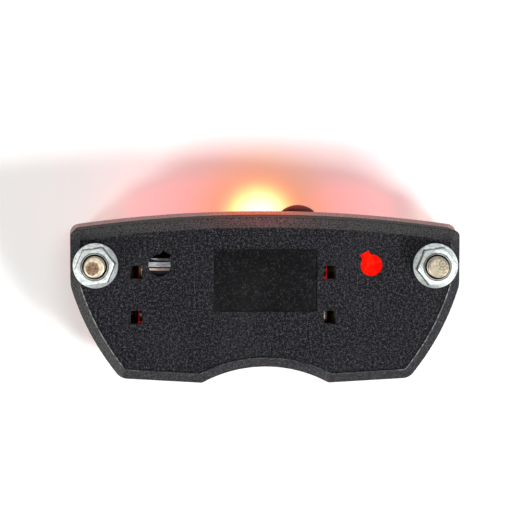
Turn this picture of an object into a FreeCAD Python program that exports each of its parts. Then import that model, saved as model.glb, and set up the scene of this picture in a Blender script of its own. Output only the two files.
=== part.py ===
import FreeCAD, Part
import math
import os

# Battery tail light for a bicycle's luggage rack, in millimetres.
# The origin lies midway between the two mounting studs, on the recessed plate of the
# rear housing. -Y points out of the back, to the rack; +Y is the way the light shines;
# +Z is up.

doc = FreeCAD.newDocument("RackTailLight")
sheet = doc.addObject("Spreadsheet::Sheet", "Sizes")

# Each row is an alias, its value and what it measures.
SIZES = [
    ("half_width", 46.0, "half the width over the side walls"),
    ("top_height", 11.3, "crown of the top wall above the studs"),
    ("top_radius", 325.0, "curve of the top wall"),
    ("flank_top", -4.8, "height at which the sides turn inward"),
    ("flank_radius", 61.0, "curve of each slanting side"),
    ("foot_half_width", 34.2, "half the width over the feet"),
    ("foot_height", -26.9, "height of the foot's outer corner"),
    ("arch_half_width", 15.0, "half the width of the arched cut-out"),
    ("arch_foot", -28.0, "height of the cut-out's corners"),
    ("arch_top", -24.15, "height of the cut-out's crown"),
    ("shoulder_round", 1.5, "radius of the two top corners"),
    ("waist_round", 6.0, "radius where side and flank meet"),
    ("foot_round", 3.3, "radius of the two outer feet"),
    ("arch_round", 1.2, "radius of the cut-out's corners"),
    ("least_round", 0.25, "least radius of a corner of an inset outline"),
    ("housing_depth", 16.0, "depth of the rear housing"),
    ("rim_depth", 1.9, "how far the sloped rim runs forward"),
    ("crest_inset", 2.3, "width of the sloped rim"),
    ("crest_land", 0.15, "width of the crest's narrow top"),
    ("crest_rise", 0.4, "height of the crest over the plate"),
    ("plate_wall", 2.0, "thickness of the back plate"),
    ("side_wall", 2.0, "thickness of the housing's walls"),
    ("lip_wall", 1.1, "thickness of the walls at the parting line"),
    ("lip_depth", 3.0, "depth of the rebate at the parting line"),
    ("stud_spacing", 80.0, "distance between the two studs"),
    ("stud_radius", 2.5, "radius of each stud's thread"),
    ("stud_reach", 7.7, "stud beyond the boss it stands on"),
    ("stud_chamfer", 0.5, "chamfer on the stud's tip"),
    ("held_relief", 0.2, "how much thinner the stud is where boss and nut hold it"),
    ("head_flats", 8.0, "bolt head and nut across flats"),
    ("head_height", 3.5, "height of the bolt's head"),
    ("head_seat", 4.0, "depth of the face that the bolt's head bears on"),
    ("boss_radius", 5.45, "radius of the boss round each stud"),
    ("boss_rise", 0.5, "height of the boss over the plate"),
    ("boss_depth", 8.0, "how far in each boss reaches"),
    ("nut_height", 4.5, "height of each flanged nut"),
    ("nut_flange_radius", 5.3, "radius of the nut's flange"),
    ("nut_flange_edge", 0.7, "thickness of the flange's edge"),
    ("nut_flange_height", 1.5, "height at which the flange meets the hexagon"),
    ("nut_crown_edge", 0.16, "nut's flat end beyond its flats"),
    ("nut_taper", 60.0, "lean of the chamfer on the nut's corners, in degrees"),
    ("thread_clearance", 0.05, "radial clearance round each stud"),
    ("hex_clearance", 0.08, "clearance on each flat of a bolt's pocket"),
    ("keyhole_spacing", 50.0, "distance between the two keyholes"),
    ("keyhole_radius", 2.6, "radius of each keyhole"),
    ("notch_width", 2.3, "width of the keyhole's square notch"),
    ("notch_reach", 3.5, "notch's far end from the keyhole's centre"),
    ("notch_angle", 60.0, "how far the notch leans, from the outward line"),
    ("window_width", 2.8, "width of each window over a contact"),
    ("window_height", 3.1, "height of each window over a contact"),
    ("label_width", 24.4, "width of the bare recess on the plate"),
    ("label_height", 14.8, "height of the bare recess on the plate"),
    ("label_drop", 3.5, "recess's centre below the studs"),
    ("label_depth", 0.3, "depth of the bare recess"),
    ("label_round", 1.5, "corner radius of the bare recess"),
    ("cell_radius", 5.15, "radius of each battery cell"),
    ("cell_length", 44.5, "length of each cell over its button"),
    ("cell_button_radius", 1.9, "radius of a cell's button"),
    ("cell_button_height", 1.0, "height of a cell's button"),
    ("cell_chamfer", 0.5, "chamfer on a cell's ends"),
    ("cell_centre", -7.65, "middle of both cells along the width"),
    ("cell_row_upper", -1.6, "height of the upper cell's axis"),
    ("cell_pitch", 10.6, "distance between the cells' axes"),
    ("cell_floor_gap", 0.4, "space between a cell and the back plate"),
    ("cradle_clearance", 0.12, "gap between a cell and its cradle"),
    ("cradle_thickness", 1.4, "thickness of each cradle rib"),
    ("cradle_height", 3.6, "height of each cradle rib over the plate"),
    ("bay_wall", 1.2, "thickness of the battery bay's end walls"),
    ("bay_depth", 12.4, "how far in the bay's end walls reach"),
    ("contact_gap", 2.1, "space between a cell's end and its contact plate"),
    ("contact_sheet", 0.4, "thickness of the contact sheet"),
    ("contact_width", 9.4, "height of one contact plate"),
    ("tongue_width", 4.4, "width of a contact's bowed tongue"),
    ("tongue_gap", 0.15, "gap between a tongue and its cell"),
    ("riser_width", 1.4, "width of a contact's riser to the board"),
    ("board_thickness", 1.0, "thickness of the circuit board"),
    ("board_half_width", 18.3, "half the width of the circuit board"),
    ("board_back", 3.0, "rear edge of the circuit board"),
    ("board_front", 24.0, "front edge of the circuit board"),
    ("board_height", 4.4, "height of the board's underside"),
    ("rail_lip", 0.6, "thickness of the rail under the board"),
    ("rail_height", 3.2, "height of each board rail"),
    ("rail_width", 3.0, "width of each board rail"),
    ("rail_depth", 14.0, "how far in each board rail reaches"),
    ("slot_depth", 0.8, "how deep the board sits in its rails"),
    ("slot_clearance", 0.1, "gap round the board in its rails"),
    ("led_radius", 2.5, "radius of the light-emitting diode"),
    ("led_flange_radius", 2.85, "radius of the diode's flange"),
    ("led_flange_height", 1.0, "height of the diode's flange"),
    ("led_barrel", 5.0, "length of the diode up to its dome"),
    ("led_back", 18.6, "depth of the diode's rear face"),
    ("led_height", 5.9, "height of the diode's axis"),
    ("lead_size", 0.5, "side of each of the diode's square leads"),
    ("lead_spacing", 2.54, "distance between the diode's leads"),
    ("lead_reach", 2.0, "straight part of a lead behind the diode"),
    ("lead_clearance", 0.12, "gap round each lead"),
    ("switch_side", 6.0, "side of the switch's square body"),
    ("switch_body_height", 2.4, "height of the switch's body"),
    ("plunger_radius", 1.5, "radius of the switch's plunger"),
    ("plunger_rise", 0.8, "plunger above the switch's body"),
    ("plunger_depth", 0.9, "plunger inside the switch's body"),
    ("press_travel", 0.5, "travel of the push button and the plunger"),
    ("button_across", 8.5, "push button's axis along the width"),
    ("button_along", 20.5, "push button's axis along the depth"),
    ("button_radius", 3.95, "radius of the push button"),
    ("button_top", 13.45, "height of the push button's crown"),
    ("dome_radius", 6.0, "curve of the push button's crown"),
    ("button_flange_radius", 4.6, "radius of the flange that keeps the button in"),
    ("button_flange_height", 0.6, "thickness of that flange"),
    ("button_clearance", 0.1, "gap round the push button"),
    ("button_skin", 1.0, "thickness of the push button's skirt"),
    ("button_web", 1.2, "lens wall left over the button's flange"),
    ("stem_radius", 1.6, "radius of the stem that meets the plunger"),
    ("touch_gap", 0.05, "gap between the stem and the plunger"),
    ("lens_depth", 14.0, "depth of the lens in front of the parting line"),
    ("lens_wall", 2.0, "thickness of the lens"),
    ("lens_edge", 4.5, "width of the rounded edge round the lens's face"),
    ("lens_edge_depth", 4.0, "depth of that rounded edge"),
    ("lens_brim", 0.85, "how far the lens stands out over the housing at the parting line"),
    ("lens_draft", 0.35, "how far the lens's sides have drawn in where its edge begins"),
    ("parting_gap", 0.1, "gap between the housing and the lens"),
    ("skirt_clearance", 0.12, "gap between the lens's skirt and the rebate"),
    ("skirt_wall", 1.1, "thickness of the lens's skirt"),
    ("seal_height", 0.9, "height of the rubber seal"),
    ("optic_radius", 4.2, "radius of the bull's-eye in front of the diode"),
    ("optic_curve", 6.72, "curve of the bull's-eye"),
    ("optic_depth", 1.5, "how far the bull's-eye stands in"),
    ("screw_across", 25.0, "cover screws from the middle"),
    ("screw_height", -21.6, "height of the cover screws"),
    ("screw_radius", 1.25, "radius of each cover screw"),
    ("screw_length", 17.0, "length of each cover screw under its head"),
    ("screw_head_radius", 2.5, "radius of each cover screw's head"),
    ("screw_head_height", 1.8, "height of each cover screw's head"),
    ("screw_sink", 1.2, "how deep each head lies below the lens's face"),
    ("screw_clearance", 0.2, "gap round each screw in the lens"),
    ("post_radius", 2.4, "radius of the posts the cover screws bite in"),
    ("post_depth", 15.0, "how far in those posts reach"),
    ("post_blind", 1.5, "closed length at the bottom of a post's hole"),
    ("tube_radius", 3.3, "radius of the lens's screw tubes"),
    ("tube_gap", 0.15, "gap between a screw tube and its post"),
    ("reflector_across", 24.3, "reflector's centre from the middle"),
    ("reflector_height", -5.9, "height of the reflector's centre"),
    ("reflector_width", 22.0, "width of each reflector"),
    ("reflector_tall", 21.0, "height of each reflector"),
    ("reflector_sheet", 1.4, "thickness of a reflector's sheet"),
    ("reflector_round", 2.0, "corner radius of a reflector"),
    ("prism_pitch", 2.8, "side of each reflector prism"),
    ("prism_height", 1.3, "height of each reflector prism"),
    ("prism_margin", 1.0, "plain edge round the prisms"),
    ("chip_length", 4.9, "length of the driver chip"),
    ("chip_width", 3.9, "width of the driver chip"),
    ("chip_height", 1.5, "height of the driver chip"),
    ("chip_pitch", 1.27, "pitch of the chip's leads"),
    ("chip_lead_width", 0.45, "width of each chip lead"),
    ("chip_lead_reach", 0.9, "length of each chip lead"),
    ("inductor_radius", 2.5, "radius of the boost inductor"),
    ("inductor_height", 2.8, "height of the boost inductor"),
    ("capacitor_length", 3.5, "length of the capacitor"),
    ("capacitor_width", 2.8, "width of the capacitor"),
    ("capacitor_height", 1.9, "height of the capacitor"),
    ("resistor_length", 2.0, "length of each resistor"),
    ("resistor_width", 1.25, "width of each resistor"),
    ("resistor_height", 0.5, "height of each resistor"),
    ("resistor_pitch", 2.2, "distance between the resistors"),
    ("overcut", 1.0, "how far a cutting tool runs past the face it opens"),
]

for row, (alias, value, meaning) in enumerate(SIZES, start=1):
    sheet.set("A%d" % row, alias)
    sheet.set("B%d" % row, str(value))
    sheet.set("C%d" % row, meaning)
    sheet.setAlias("B%d" % row, alias)
doc.recompute()

PARTS = []


def size(alias):
    """The value of a cell of the sheet."""
    return float(sheet.get(alias))


def bind(thing, **formulas):
    """Bind a thing's properties to formulas of sheet cells, with [name] for a cell."""
    for name, formula in formulas.items():
        path = name.replace("__", ".")
        thing.setExpression(path, cells(formula))


def cells(formula):
    """Write a formula's [name] cells as the sheet's own."""
    return str(formula).replace("[", "Sizes.").replace("]", "")


def place(thing, x, y, z):
    """Bind where a thing stands."""
    bind(thing, Placement__Base__x=x, Placement__Base__y=y, Placement__Base__z=z)


def finish(thing, label):
    """Name a finished sub-part."""
    thing.Label = label
    PARTS.append(thing)
    return thing


# Solids with bound sizes

X_AXIS = FreeCAD.Vector(1, 0, 0)
Y_AXIS = FreeCAD.Vector(0, 1, 0)
FORWARD = FreeCAD.Rotation(X_AXIS, -90)
BACKWARD = FreeCAD.Rotation(X_AXIS, 90)
UPWARD = FreeCAD.Rotation()
RIGHTWARD = FreeCAD.Rotation(Y_AXIS, 90)
LEFTWARD = FreeCAD.Rotation(Y_AXIS, -90)


def box(name, low, extent):
    """A box from its low corner and its extent, all formulas."""
    solid = doc.addObject("Part::Box", name)
    bind(solid, Length=extent[0], Width=extent[1], Height=extent[2])
    place(solid, *low)
    return solid


def middle_box(name, centre, extent):
    """A box round a centre line in X and Z, from a low Y."""
    low = ("(%s) - (%s) / 2" % (centre[0], extent[0]), centre[1], "(%s) - (%s) / 2" % (centre[2], extent[2]))
    return box(name, low, extent)


def cylinder(name, foot, turn, radius, height):
    """A cylinder from the centre of its foot, along the way it is turned."""
    solid = doc.addObject("Part::Cylinder", name)
    solid.Placement = FreeCAD.Placement(FreeCAD.Vector(), turn)
    bind(solid, Radius=radius, Height=height)
    place(solid, *foot)
    return solid


def cone(name, foot, turn, radius_foot, radius_top, height):
    """A cone from the centre of its foot, along the way it is turned."""
    solid = doc.addObject("Part::Cone", name)
    solid.Placement = FreeCAD.Placement(FreeCAD.Vector(), turn)
    bind(solid, Radius1=radius_foot, Radius2=radius_top, Height=height)
    place(solid, *foot)
    return solid


def hexagon(name, foot, turn, flats, height):
    """A hexagonal prism from its size across flats."""
    solid = doc.addObject("Part::Prism", name)
    solid.Polygon = 6
    solid.Placement = FreeCAD.Placement(FreeCAD.Vector(), turn)
    bind(solid, Circumradius="(%s) / sqrt(3)" % flats, Height=height)
    place(solid, *foot)
    return solid


def ball(name, centre, radius):
    """A sphere about its centre."""
    solid = doc.addObject("Part::Sphere", name)
    bind(solid, Radius=radius)
    place(solid, *centre)
    return solid


def fused(name, pieces):
    """One solid of several that meet."""
    solid = doc.addObject("Part::MultiFuse", name)
    solid.Shapes = pieces
    return solid


def shared(name, first, second):
    """What two solids have in common."""
    solid = doc.addObject("Part::MultiCommon", name)
    solid.Shapes = [first, second]
    return solid


def cut(name, base, tools):
    """A solid less the tools."""
    solid = doc.addObject("Part::Cut", name)
    solid.Base = base
    solid.Tool = tools[0] if len(tools) == 1 else fused(name + "Tools", tools)
    return solid


# The outline of the light, seen from behind, moved inward by an inset.
# Its edges are lines and circles, so an inset line moves and an inset circle shrinks,
# or grows where it is hollow.

def offset(curve, inset):
    """A line or circle moved to the inner side of the outline."""
    kind, centre, measure = curve
    if kind == "line":
        across = FreeCAD.Vector(-measure.y, measure.x, 0)
        return (kind, centre + across * inset, measure)
    return (kind, centre, measure - inset if kind == "round" else measure + inset)


def touch(curve, point):
    """The nearest point of a line or circle."""
    kind, centre, measure = curve
    if kind == "line":
        return centre + measure * (point - centre).dot(measure)
    away = point - centre
    away.normalize()
    return centre + away * measure


def meeting(first, second, near):
    """Where two curves meet, found by stepping from one to the other."""
    if first[0] == "line" and second[0] != "line":
        first, second = second, first
    if first[0] == "line":
        across = FreeCAD.Vector(-second[2].y, second[2].x, 0)
        along = (second[1] - first[1]).dot(across) / first[2].dot(across)
        return first[1] + first[2] * along
    if second[0] == "line":
        foot = touch(second, first[1])
        reach = math.sqrt(first[2] ** 2 - (foot - first[1]).Length ** 2)
        choices = [foot + second[2] * reach, foot - second[2] * reach]
    else:
        between = second[1] - first[1]
        span = between.Length
        along = (first[2] ** 2 - second[2] ** 2 + span ** 2) / (2 * span)
        reach = math.sqrt(first[2] ** 2 - along ** 2)
        between.normalize()
        across = FreeCAD.Vector(-between.y, between.x, 0)
        foot = first[1] + between * along
        choices = [foot + across * reach, foot - across * reach]
    return min(choices, key=lambda choice: (choice - near).Length)


def flank_circle():
    """The circle through both ends of a slanting side."""
    start = FreeCAD.Vector(size("half_width"), size("flank_top"), 0)
    end = FreeCAD.Vector(size("foot_half_width"), size("foot_height"), 0)
    chord = end - start
    middle = (start + end) * 0.5
    reach = math.sqrt(size("flank_radius") ** 2 - (chord.Length / 2) ** 2)
    inward = FreeCAD.Vector(chord.y, -chord.x, 0)
    inward.normalize()
    return ("round", middle + inward * reach, size("flank_radius")), start, end


def half_outline():
    """The right half's curves, anticlockwise from the arch, with its corners."""
    flank, waist, foot = flank_circle()
    heel = FreeCAD.Vector(size("arch_half_width"), size("arch_foot"), 0)
    rise = size("arch_top") - size("arch_foot")
    arch_radius = (size("arch_half_width") ** 2 + rise ** 2) / (2 * rise)
    arch = ("hollow", FreeCAD.Vector(0, size("arch_top") - arch_radius, 0), arch_radius)
    sole_way = foot - heel
    sole_way.normalize()
    sole = ("line", heel, sole_way)
    side = ("line", waist, FreeCAD.Vector(0, 1, 0))
    crown = ("round", FreeCAD.Vector(0, size("top_height") - size("top_radius"), 0), size("top_radius"))
    shoulder = meeting(crown, side, FreeCAD.Vector(size("half_width"), size("top_height"), 0))
    curves = [arch, sole, flank, side, crown]
    corners = [(heel, size("arch_round")), (foot, size("foot_round")),
               (waist, size("waist_round")), (shoulder, size("shoulder_round"))]
    return curves, corners


def bend(curve, start, end):
    """The edge along a curve between two of its points."""
    if curve[0] == "line":
        return Part.LineSegment(start, end)
    return Part.Arc(start, touch(curve, (start + end) * 0.5), end)


def standing(edge):
    """An edge of the outline stood up, so that its second axis is Z."""
    shape = edge.toShape()
    shape.rotate(FreeCAD.Vector(), X_AXIS, 90)
    return shape


def mirrored(point):
    """A point of the outline's other half."""
    return FreeCAD.Vector(-point.x, point.y, 0)


def outline_edges(inset):
    """The outline's edges, moved inward by the inset."""
    curves, corners = half_outline()
    rounds = []
    for index, (corner, radius) in enumerate(corners):
        depth = inset + max(radius - inset, size("least_round"))
        before = offset(curves[index], depth)
        after = offset(curves[index + 1], depth)
        centre = meeting(before, after, corner)
        start = touch(offset(curves[index], inset), centre)
        end = touch(offset(curves[index + 1], inset), centre)
        outward = (start + end) * 0.5 - centre
        outward.normalize()
        rounds.append((start, centre + outward * (depth - inset), end))
    edges = []
    for index, (start, top, end) in enumerate(rounds):
        edges.append(Part.Arc(start, top, end))
        if index + 1 < len(rounds):
            edges.append(bend(offset(curves[index + 1], inset), end, rounds[index + 1][0]))
    crown = offset(curves[-1], inset)
    edges.append(bend(crown, rounds[-1][2], mirrored(rounds[-1][2])))
    for index in range(len(rounds) - 1, -1, -1):
        start, top, end = rounds[index]
        edges.append(Part.Arc(mirrored(end), mirrored(top), mirrored(start)))
        if index > 0:
            edges.append(bend_mirrored(offset(curves[index], inset), rounds[index - 1][2], start))
    arch = offset(curves[0], inset)
    edges.append(bend(arch, mirrored(rounds[0][0]), rounds[0][0]))
    return edges


def bend_mirrored(curve, start, end):
    """The other half's edge along a curve, run backwards."""
    if curve[0] == "line":
        return Part.LineSegment(mirrored(end), mirrored(start))
    return Part.Arc(mirrored(end), mirrored(touch(curve, (start + end) * 0.5)), mirrored(start))


def outline(name, inset, depth):
    """The outline as a wire of the document, at a depth bound to the sheet."""
    wire = doc.addObject("Part::Feature", name)
    wire.Shape = Part.Wire([standing(edge) for edge in outline_edges(inset)])
    place(wire, 0, depth, 0)
    return wire


def slab(name, wire, length):
    """A wire run forward into a solid."""
    solid = doc.addObject("Part::Extrusion", name)
    solid.Base = wire
    solid.DirMode = "Custom"
    solid.Dir = Y_AXIS
    solid.Solid = True
    bind(solid, LengthFwd=length)
    return solid


def skin(name, wires):
    """A solid that runs straight from wire to wire."""
    solid = doc.addObject("Part::Loft", name)
    solid.Sections = wires
    solid.Solid = True
    solid.Ruled = True
    return solid


def rounded_rectangle(name, centre, width, height, radius, depth):
    """A wire with rounded corners, in real sizes, at a depth bound to the sheet."""
    x, z = centre
    half_x = width / 2 - radius
    half_z = height / 2 - radius
    edges = []
    corners = [(1, 1), (-1, 1), (-1, -1), (1, -1)]
    ends = []
    for quarter, (side, level) in enumerate(corners):
        middle = FreeCAD.Vector(x + side * half_x, z + level * half_z, 0)
        angles = [math.radians(90 * quarter + step) for step in (0, 45, 90)]
        points = [middle + FreeCAD.Vector(math.cos(a), math.sin(a), 0) * radius for a in angles]
        ends.append(points)
    for index, points in enumerate(ends):
        edges.append(Part.Arc(*points))
        edges.append(Part.LineSegment(points[2], ends[(index + 1) % 4][0]))
    wire = doc.addObject("Part::Feature", name)
    wire.Shape = Part.Wire([standing(edge) for edge in edges])
    place(wire, 0, depth, 0)
    return wire


# Places worked out from the sheet, as formulas

STUDS = {"left": "-[stud_spacing] / 2", "right": "[stud_spacing] / 2"}
SCREWS = {"left": "-[screw_across]", "right": "[screw_across]"}
CELL_DEPTH = "[plate_wall] + [cell_floor_gap] + [cell_radius]"
CELL_ROWS = {"upper": "[cell_row_upper]", "lower": "([cell_row_upper] - [cell_pitch])"}
CELL_LEFT = "([cell_centre] - [cell_length] / 2)"
CELL_RIGHT = "([cell_centre] + [cell_length] / 2)"
PLATE_LEFT = "(%s - [contact_gap])" % CELL_LEFT
PLATE_RIGHT = "(%s + [contact_gap])" % CELL_RIGHT
BOARD_TOP = "([board_height] + [board_thickness])"
TAB_TOP = "(%s + [board_thickness])" % BOARD_TOP
LENS_BACK = "([housing_depth] + [parting_gap])"
LENS_FRONT = "([housing_depth] + [lens_depth])"
LENS_INNER = "([housing_depth] + [lens_depth] - [lens_wall])"
LEDGE = "([housing_depth] - [lip_depth])"


def rear_housing():
    """The moulded black housing: sloped rim, crest, plate, bosses and bay."""
    crest = outline("CrestLine", size("crest_inset"), "-[crest_rise]")
    rim = outline("RimLine", 0.0, "[rim_depth]")
    mouth = outline("MouthLine", 0.0, "[housing_depth]")
    shell = skin("HousingShell", [crest, rim, mouth])
    hollows = [
        slab("PlateRecess", outline("RecessLine", size("crest_inset") + size("crest_land"),
                                    "-[crest_rise] - [overcut]"), "[crest_rise] + [overcut]"),
        slab("HousingCavity", outline("CavityLine", size("side_wall"), "[plate_wall]"), "[housing_depth]"),
        slab("LipRebate", outline("RebateLine", size("lip_wall"), LEDGE), "[housing_depth]"),
    ]
    open_shell = cut("OpenShell", shell, hollows)
    solids = [open_shell]
    solids.append(cut("BossesAndRails", fused("InnerSupports", [stud_bosses()] + board_rails()),
                      contact_rooms()))
    for side, x in SCREWS.items():
        solids.append(cylinder("ScrewPost" + side, (x, "[plate_wall] / 2", "[screw_height]"), FORWARD,
                               "[post_radius]", "[post_depth] - [plate_wall] / 2"))
    solids += bay_walls()
    solids.append(cell_cradles())
    body = fused("HousingSolid", solids)
    return finish(cut("RearHousing", body, housing_holes()), "rear_housing")


def stud_bosses():
    """A boss round each stud, kept within the outline."""
    bosses = []
    for side, x in STUDS.items():
        bosses.append(cylinder("StudBoss" + side, (x, "-[boss_rise]", 0), FORWARD,
                               "[boss_radius]", "[boss_depth] + [boss_rise]"))
    bound = slab("BossBound", outline("BossBoundLine", 0.0, "-[boss_rise]"), "[boss_depth] + [boss_rise]")
    return shared("StudBosses", fused("BossPair", bosses), bound)


def contact_rooms():
    """The space that the contacts' plates and tabs need, clear of bosses and rails."""
    low = "%s - [contact_width] / 2" % CELL_ROWS["lower"]
    plates = box("PlateRoom", ("%s - [contact_sheet]" % PLATE_LEFT, "[plate_wall]", low),
                 ("%s - %s + 2 * [contact_sheet]" % (PLATE_RIGHT, PLATE_LEFT), "[bay_depth]",
                  "[cell_pitch] + [contact_width]"))
    tabs = box("TabRoom", ("%s - [lead_clearance]" % PLATE_RIGHT, "[plate_wall]", low),
               ("[contact_sheet] + 2 * [lead_clearance]", "[bay_depth]",
                "%s - (%s) + [lead_clearance]" % (TAB_TOP, low)))
    return [plates, tabs]


def board_rails():
    """Two grooved rails that the circuit board slides into."""
    rails = []
    height = "[board_height] - [rail_lip]"
    inner = "([board_half_width] - [slot_depth] + [slot_clearance])"
    for side, x in (("Left", "-%s - [rail_width]" % inner), ("Right", inner)):
        block = box("Rail" + side, (x, "[plate_wall] / 2", height),
                    ("[rail_width]", "[rail_depth] - [plate_wall] / 2", "[rail_height]"))
        groove = box("Groove" + side, ("-[board_half_width] - [slot_clearance]",
                                       "[board_back] - [slot_clearance]",
                                       "[board_height] - [slot_clearance]"),
                     ("2 * ([board_half_width] + [slot_clearance])", "[board_front]",
                      "[board_thickness] + 2 * [slot_clearance]"))
        rails.append(cut("GroovedRail" + side, block, [groove]))
    return rails


def bay_walls():
    """The two walls behind the battery contacts."""
    low = "%s - [contact_width] / 2 - [bay_wall] / 2" % CELL_ROWS["lower"]
    height = "[cell_pitch] + [contact_width] + [bay_wall]"
    length = "[bay_depth] - [plate_wall] / 2"
    left = box("BayWallLeft", ("%s - [contact_sheet] - [bay_wall]" % PLATE_LEFT, "[plate_wall] / 2", low),
               ("[bay_wall]", length, height))
    right = box("BayWallRight", ("%s + [contact_sheet]" % PLATE_RIGHT, "[plate_wall] / 2", low),
                ("[bay_wall]", length, height))
    return [left, right]


# How far along the cells the cradle ribs stand, clear of the keyhole and the windows.
CRADLE_PLACES = (0.25, 0.62, 0.88)


def cell_cradles():
    """Ribs across the bay, hollowed to the two cells."""
    ribs = []
    low = "%s - [cell_radius]" % CELL_ROWS["lower"]
    for index, share in enumerate(CRADLE_PLACES):
        x = "%s + [cell_length] * %s - [cradle_thickness] / 2" % (CELL_LEFT, share)
        ribs.append(box("Cradle%d" % index, (x, "[plate_wall] / 2", low),
                        ("[cradle_thickness]", "[plate_wall] / 2 + [cradle_height]",
                         "[cell_pitch] + 2 * [cell_radius]")))
    beds = []
    for row, z in CELL_ROWS.items():
        beds.append(cylinder("CellBed" + row, (CELL_LEFT, CELL_DEPTH, z), RIGHTWARD,
                             "[cell_radius] + [cradle_clearance]", "[cell_length]"))
    return cut("CellCradles", fused("CradleRibs", ribs), beds)


def housing_holes():
    """Everything that is cut out of the housing."""
    holes = []
    for side, x in STUDS.items():
        holes.append(cylinder("StudHole" + side, (x, "-[boss_rise] - [overcut]", 0), FORWARD,
                              "[stud_radius] + [thread_clearance]", "[boss_depth] + [housing_depth]"))
        holes.append(hexagon("HeadPocket" + side, (x, "[head_seat]", 0), FORWARD,
                             "[head_flats] + 2 * [hex_clearance]", "[housing_depth]"))
    for side, x in SCREWS.items():
        holes.append(cylinder("PilotHole" + side, (x, "[plate_wall] + [post_blind]", "[screw_height]"),
                              FORWARD, "[screw_radius] + [thread_clearance]", "[housing_depth]"))
    holes.append(cylinder("ButtonRelief", ("[button_across]", "[button_along]", BOARD_TOP), UPWARD,
                          "[button_radius] + [button_clearance]", "[top_height]"))
    holes += keyholes()
    holes += windows()
    label = rounded_rectangle("LabelLine", (0, -size("label_drop")), size("label_width"),
                              size("label_height"), size("label_round"), "-[overcut]")
    holes.append(slab("LabelRecess", label, "[overcut] + [label_depth]"))
    return holes


def keyholes():
    """Round holes with a leaning square notch, one each side."""
    holes = []
    for side, sign in (("Left", -1), ("Right", 1)):
        x = "%d * [keyhole_spacing] / 2" % sign
        low = "-[crest_rise] - [overcut]"
        length = "[plate_wall] + [crest_rise] + 2 * [overcut]"
        holes.append(cylinder("Keyhole" + side, (x, low, 0), FORWARD, "[keyhole_radius]", length))
        notch = box("Notch" + side, (x, low, 0), ("[notch_width]", length, "[notch_reach]"))
        lean = math.radians(90 - size("notch_angle"))
        turn = FreeCAD.Rotation(Y_AXIS, -sign * math.degrees(lean))
        shift = turn.multVec(FreeCAD.Vector(-size("notch_width") / 2, 0, 0))
        notch.Placement = FreeCAD.Placement(FreeCAD.Vector(), turn)
        place(notch, "%s + %.6f" % (x, shift.x), low, "%.6f" % shift.z)
        holes.append(notch)
    return holes


def windows():
    """Small windows through the plate over the four cell ends."""
    holes = []
    ends = {"Left": "%s - [contact_gap] / 4" % CELL_LEFT, "Right": "%s + [contact_gap] / 4" % CELL_RIGHT}
    for end, x in ends.items():
        for row, z in CELL_ROWS.items():
            holes.append(middle_box("Window" + end + row, (x, "-[overcut]", z),
                                    ("[window_width]", "[plate_wall] + 2 * [overcut]", "[window_height]")))
    return holes


def bolts():
    """Hexagon-headed bolts held in the housing, their threads out of the back."""
    nut_end = "([boss_rise] + [nut_height])"
    for side, x in STUDS.items():
        held = cylinder("HeldShank" + side, (x, "[head_seat]", 0), BACKWARD,
                        "[stud_radius] - [held_relief]", "[head_seat] + %s" % nut_end)
        free = cylinder("FreeThread" + side, (x, "-%s" % nut_end, 0), BACKWARD,
                        "[stud_radius]", "[boss_rise] + [stud_reach] - [stud_chamfer] - %s" % nut_end)
        tip = cone("Tip" + side, (x, "-[boss_rise] - [stud_reach] + [stud_chamfer]", 0), BACKWARD,
                   "[stud_radius]", "[stud_radius] - [stud_chamfer]", "[stud_chamfer]")
        head = hexagon("Head" + side, (x, "[head_seat]", 0), FORWARD, "[head_flats]", "[head_height]")
        finish(fused("Bolt" + side, [held, free, tip, head]), "bolt_" + side)


def nuts():
    """Flanged nuts, chamfered at the outer end."""
    for side, x in STUDS.items():
        face = "-[boss_rise]"
        prism = hexagon("NutHex" + side, (x, face, 0), BACKWARD, "[head_flats]", "[nut_height]")
        corner = "[head_flats] / sqrt(3)"
        crown = "([head_flats] / 2 + [nut_crown_edge])"
        taper = cone("NutTaper" + side, (x, face, 0), BACKWARD,
                     "%s + [nut_height] * tan([nut_taper])" % crown, crown, "[nut_height]")
        hexed = shared("NutBody" + side, prism, taper)
        rim = cylinder("NutRim" + side, (x, face, 0), BACKWARD, "[nut_flange_radius]", "[nut_flange_edge]")
        slope = cone("NutSlope" + side, (x, "%s - [nut_flange_edge]" % face, 0), BACKWARD,
                     "[nut_flange_radius]", corner, "[nut_flange_height] - [nut_flange_edge]")
        whole = fused("NutSolid" + side, [hexed, rim, slope])
        bore = cylinder("NutBore" + side, (x, "%s + [overcut]" % face, 0), BACKWARD,
                        "[stud_radius] + [thread_clearance]", "[nut_height] + 2 * [overcut]")
        mouth = cone("NutMouth" + side, (x, "%s - [nut_height]" % face, 0), FORWARD,
                     "[stud_radius] + [stud_chamfer]", "[stud_radius]", "[stud_chamfer]")
        finish(cut("Nut" + side, whole, [bore, mouth]), "nut_" + side)


def cells_in_bay():
    """Two cells, the upper with its button to the right and the lower to the left."""
    for row, z in CELL_ROWS.items():
        right = row == "upper"
        turn = RIGHTWARD if right else LEFTWARD
        foot = CELL_LEFT if right else CELL_RIGHT
        sign = "+" if right else "-"
        barrel_length = "([cell_length] - [cell_button_height] - 2 * [cell_chamfer])"

        def along(reach):
            return "%s %s (%s)" % (foot, sign, reach)

        near = cone("CellFoot" + row, (foot, CELL_DEPTH, z), turn,
                    "[cell_radius] - [cell_chamfer]", "[cell_radius]", "[cell_chamfer]")
        barrel = cylinder("CellBarrel" + row, (along("[cell_chamfer]"), CELL_DEPTH, z), turn,
                          "[cell_radius]", barrel_length)
        far = cone("CellShoulder" + row, (along("[cell_chamfer] + %s" % barrel_length), CELL_DEPTH, z), turn,
                   "[cell_radius]", "[cell_radius] - [cell_chamfer]", "[cell_chamfer]")
        button = cylinder("CellButton" + row, (along("[cell_length] - [cell_button_height]"), CELL_DEPTH, z),
                          turn, "[cell_button_radius]", "[cell_button_height]")
        finish(fused("Cell" + row, [near, barrel, far, button]), "cell_" + row)


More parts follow.
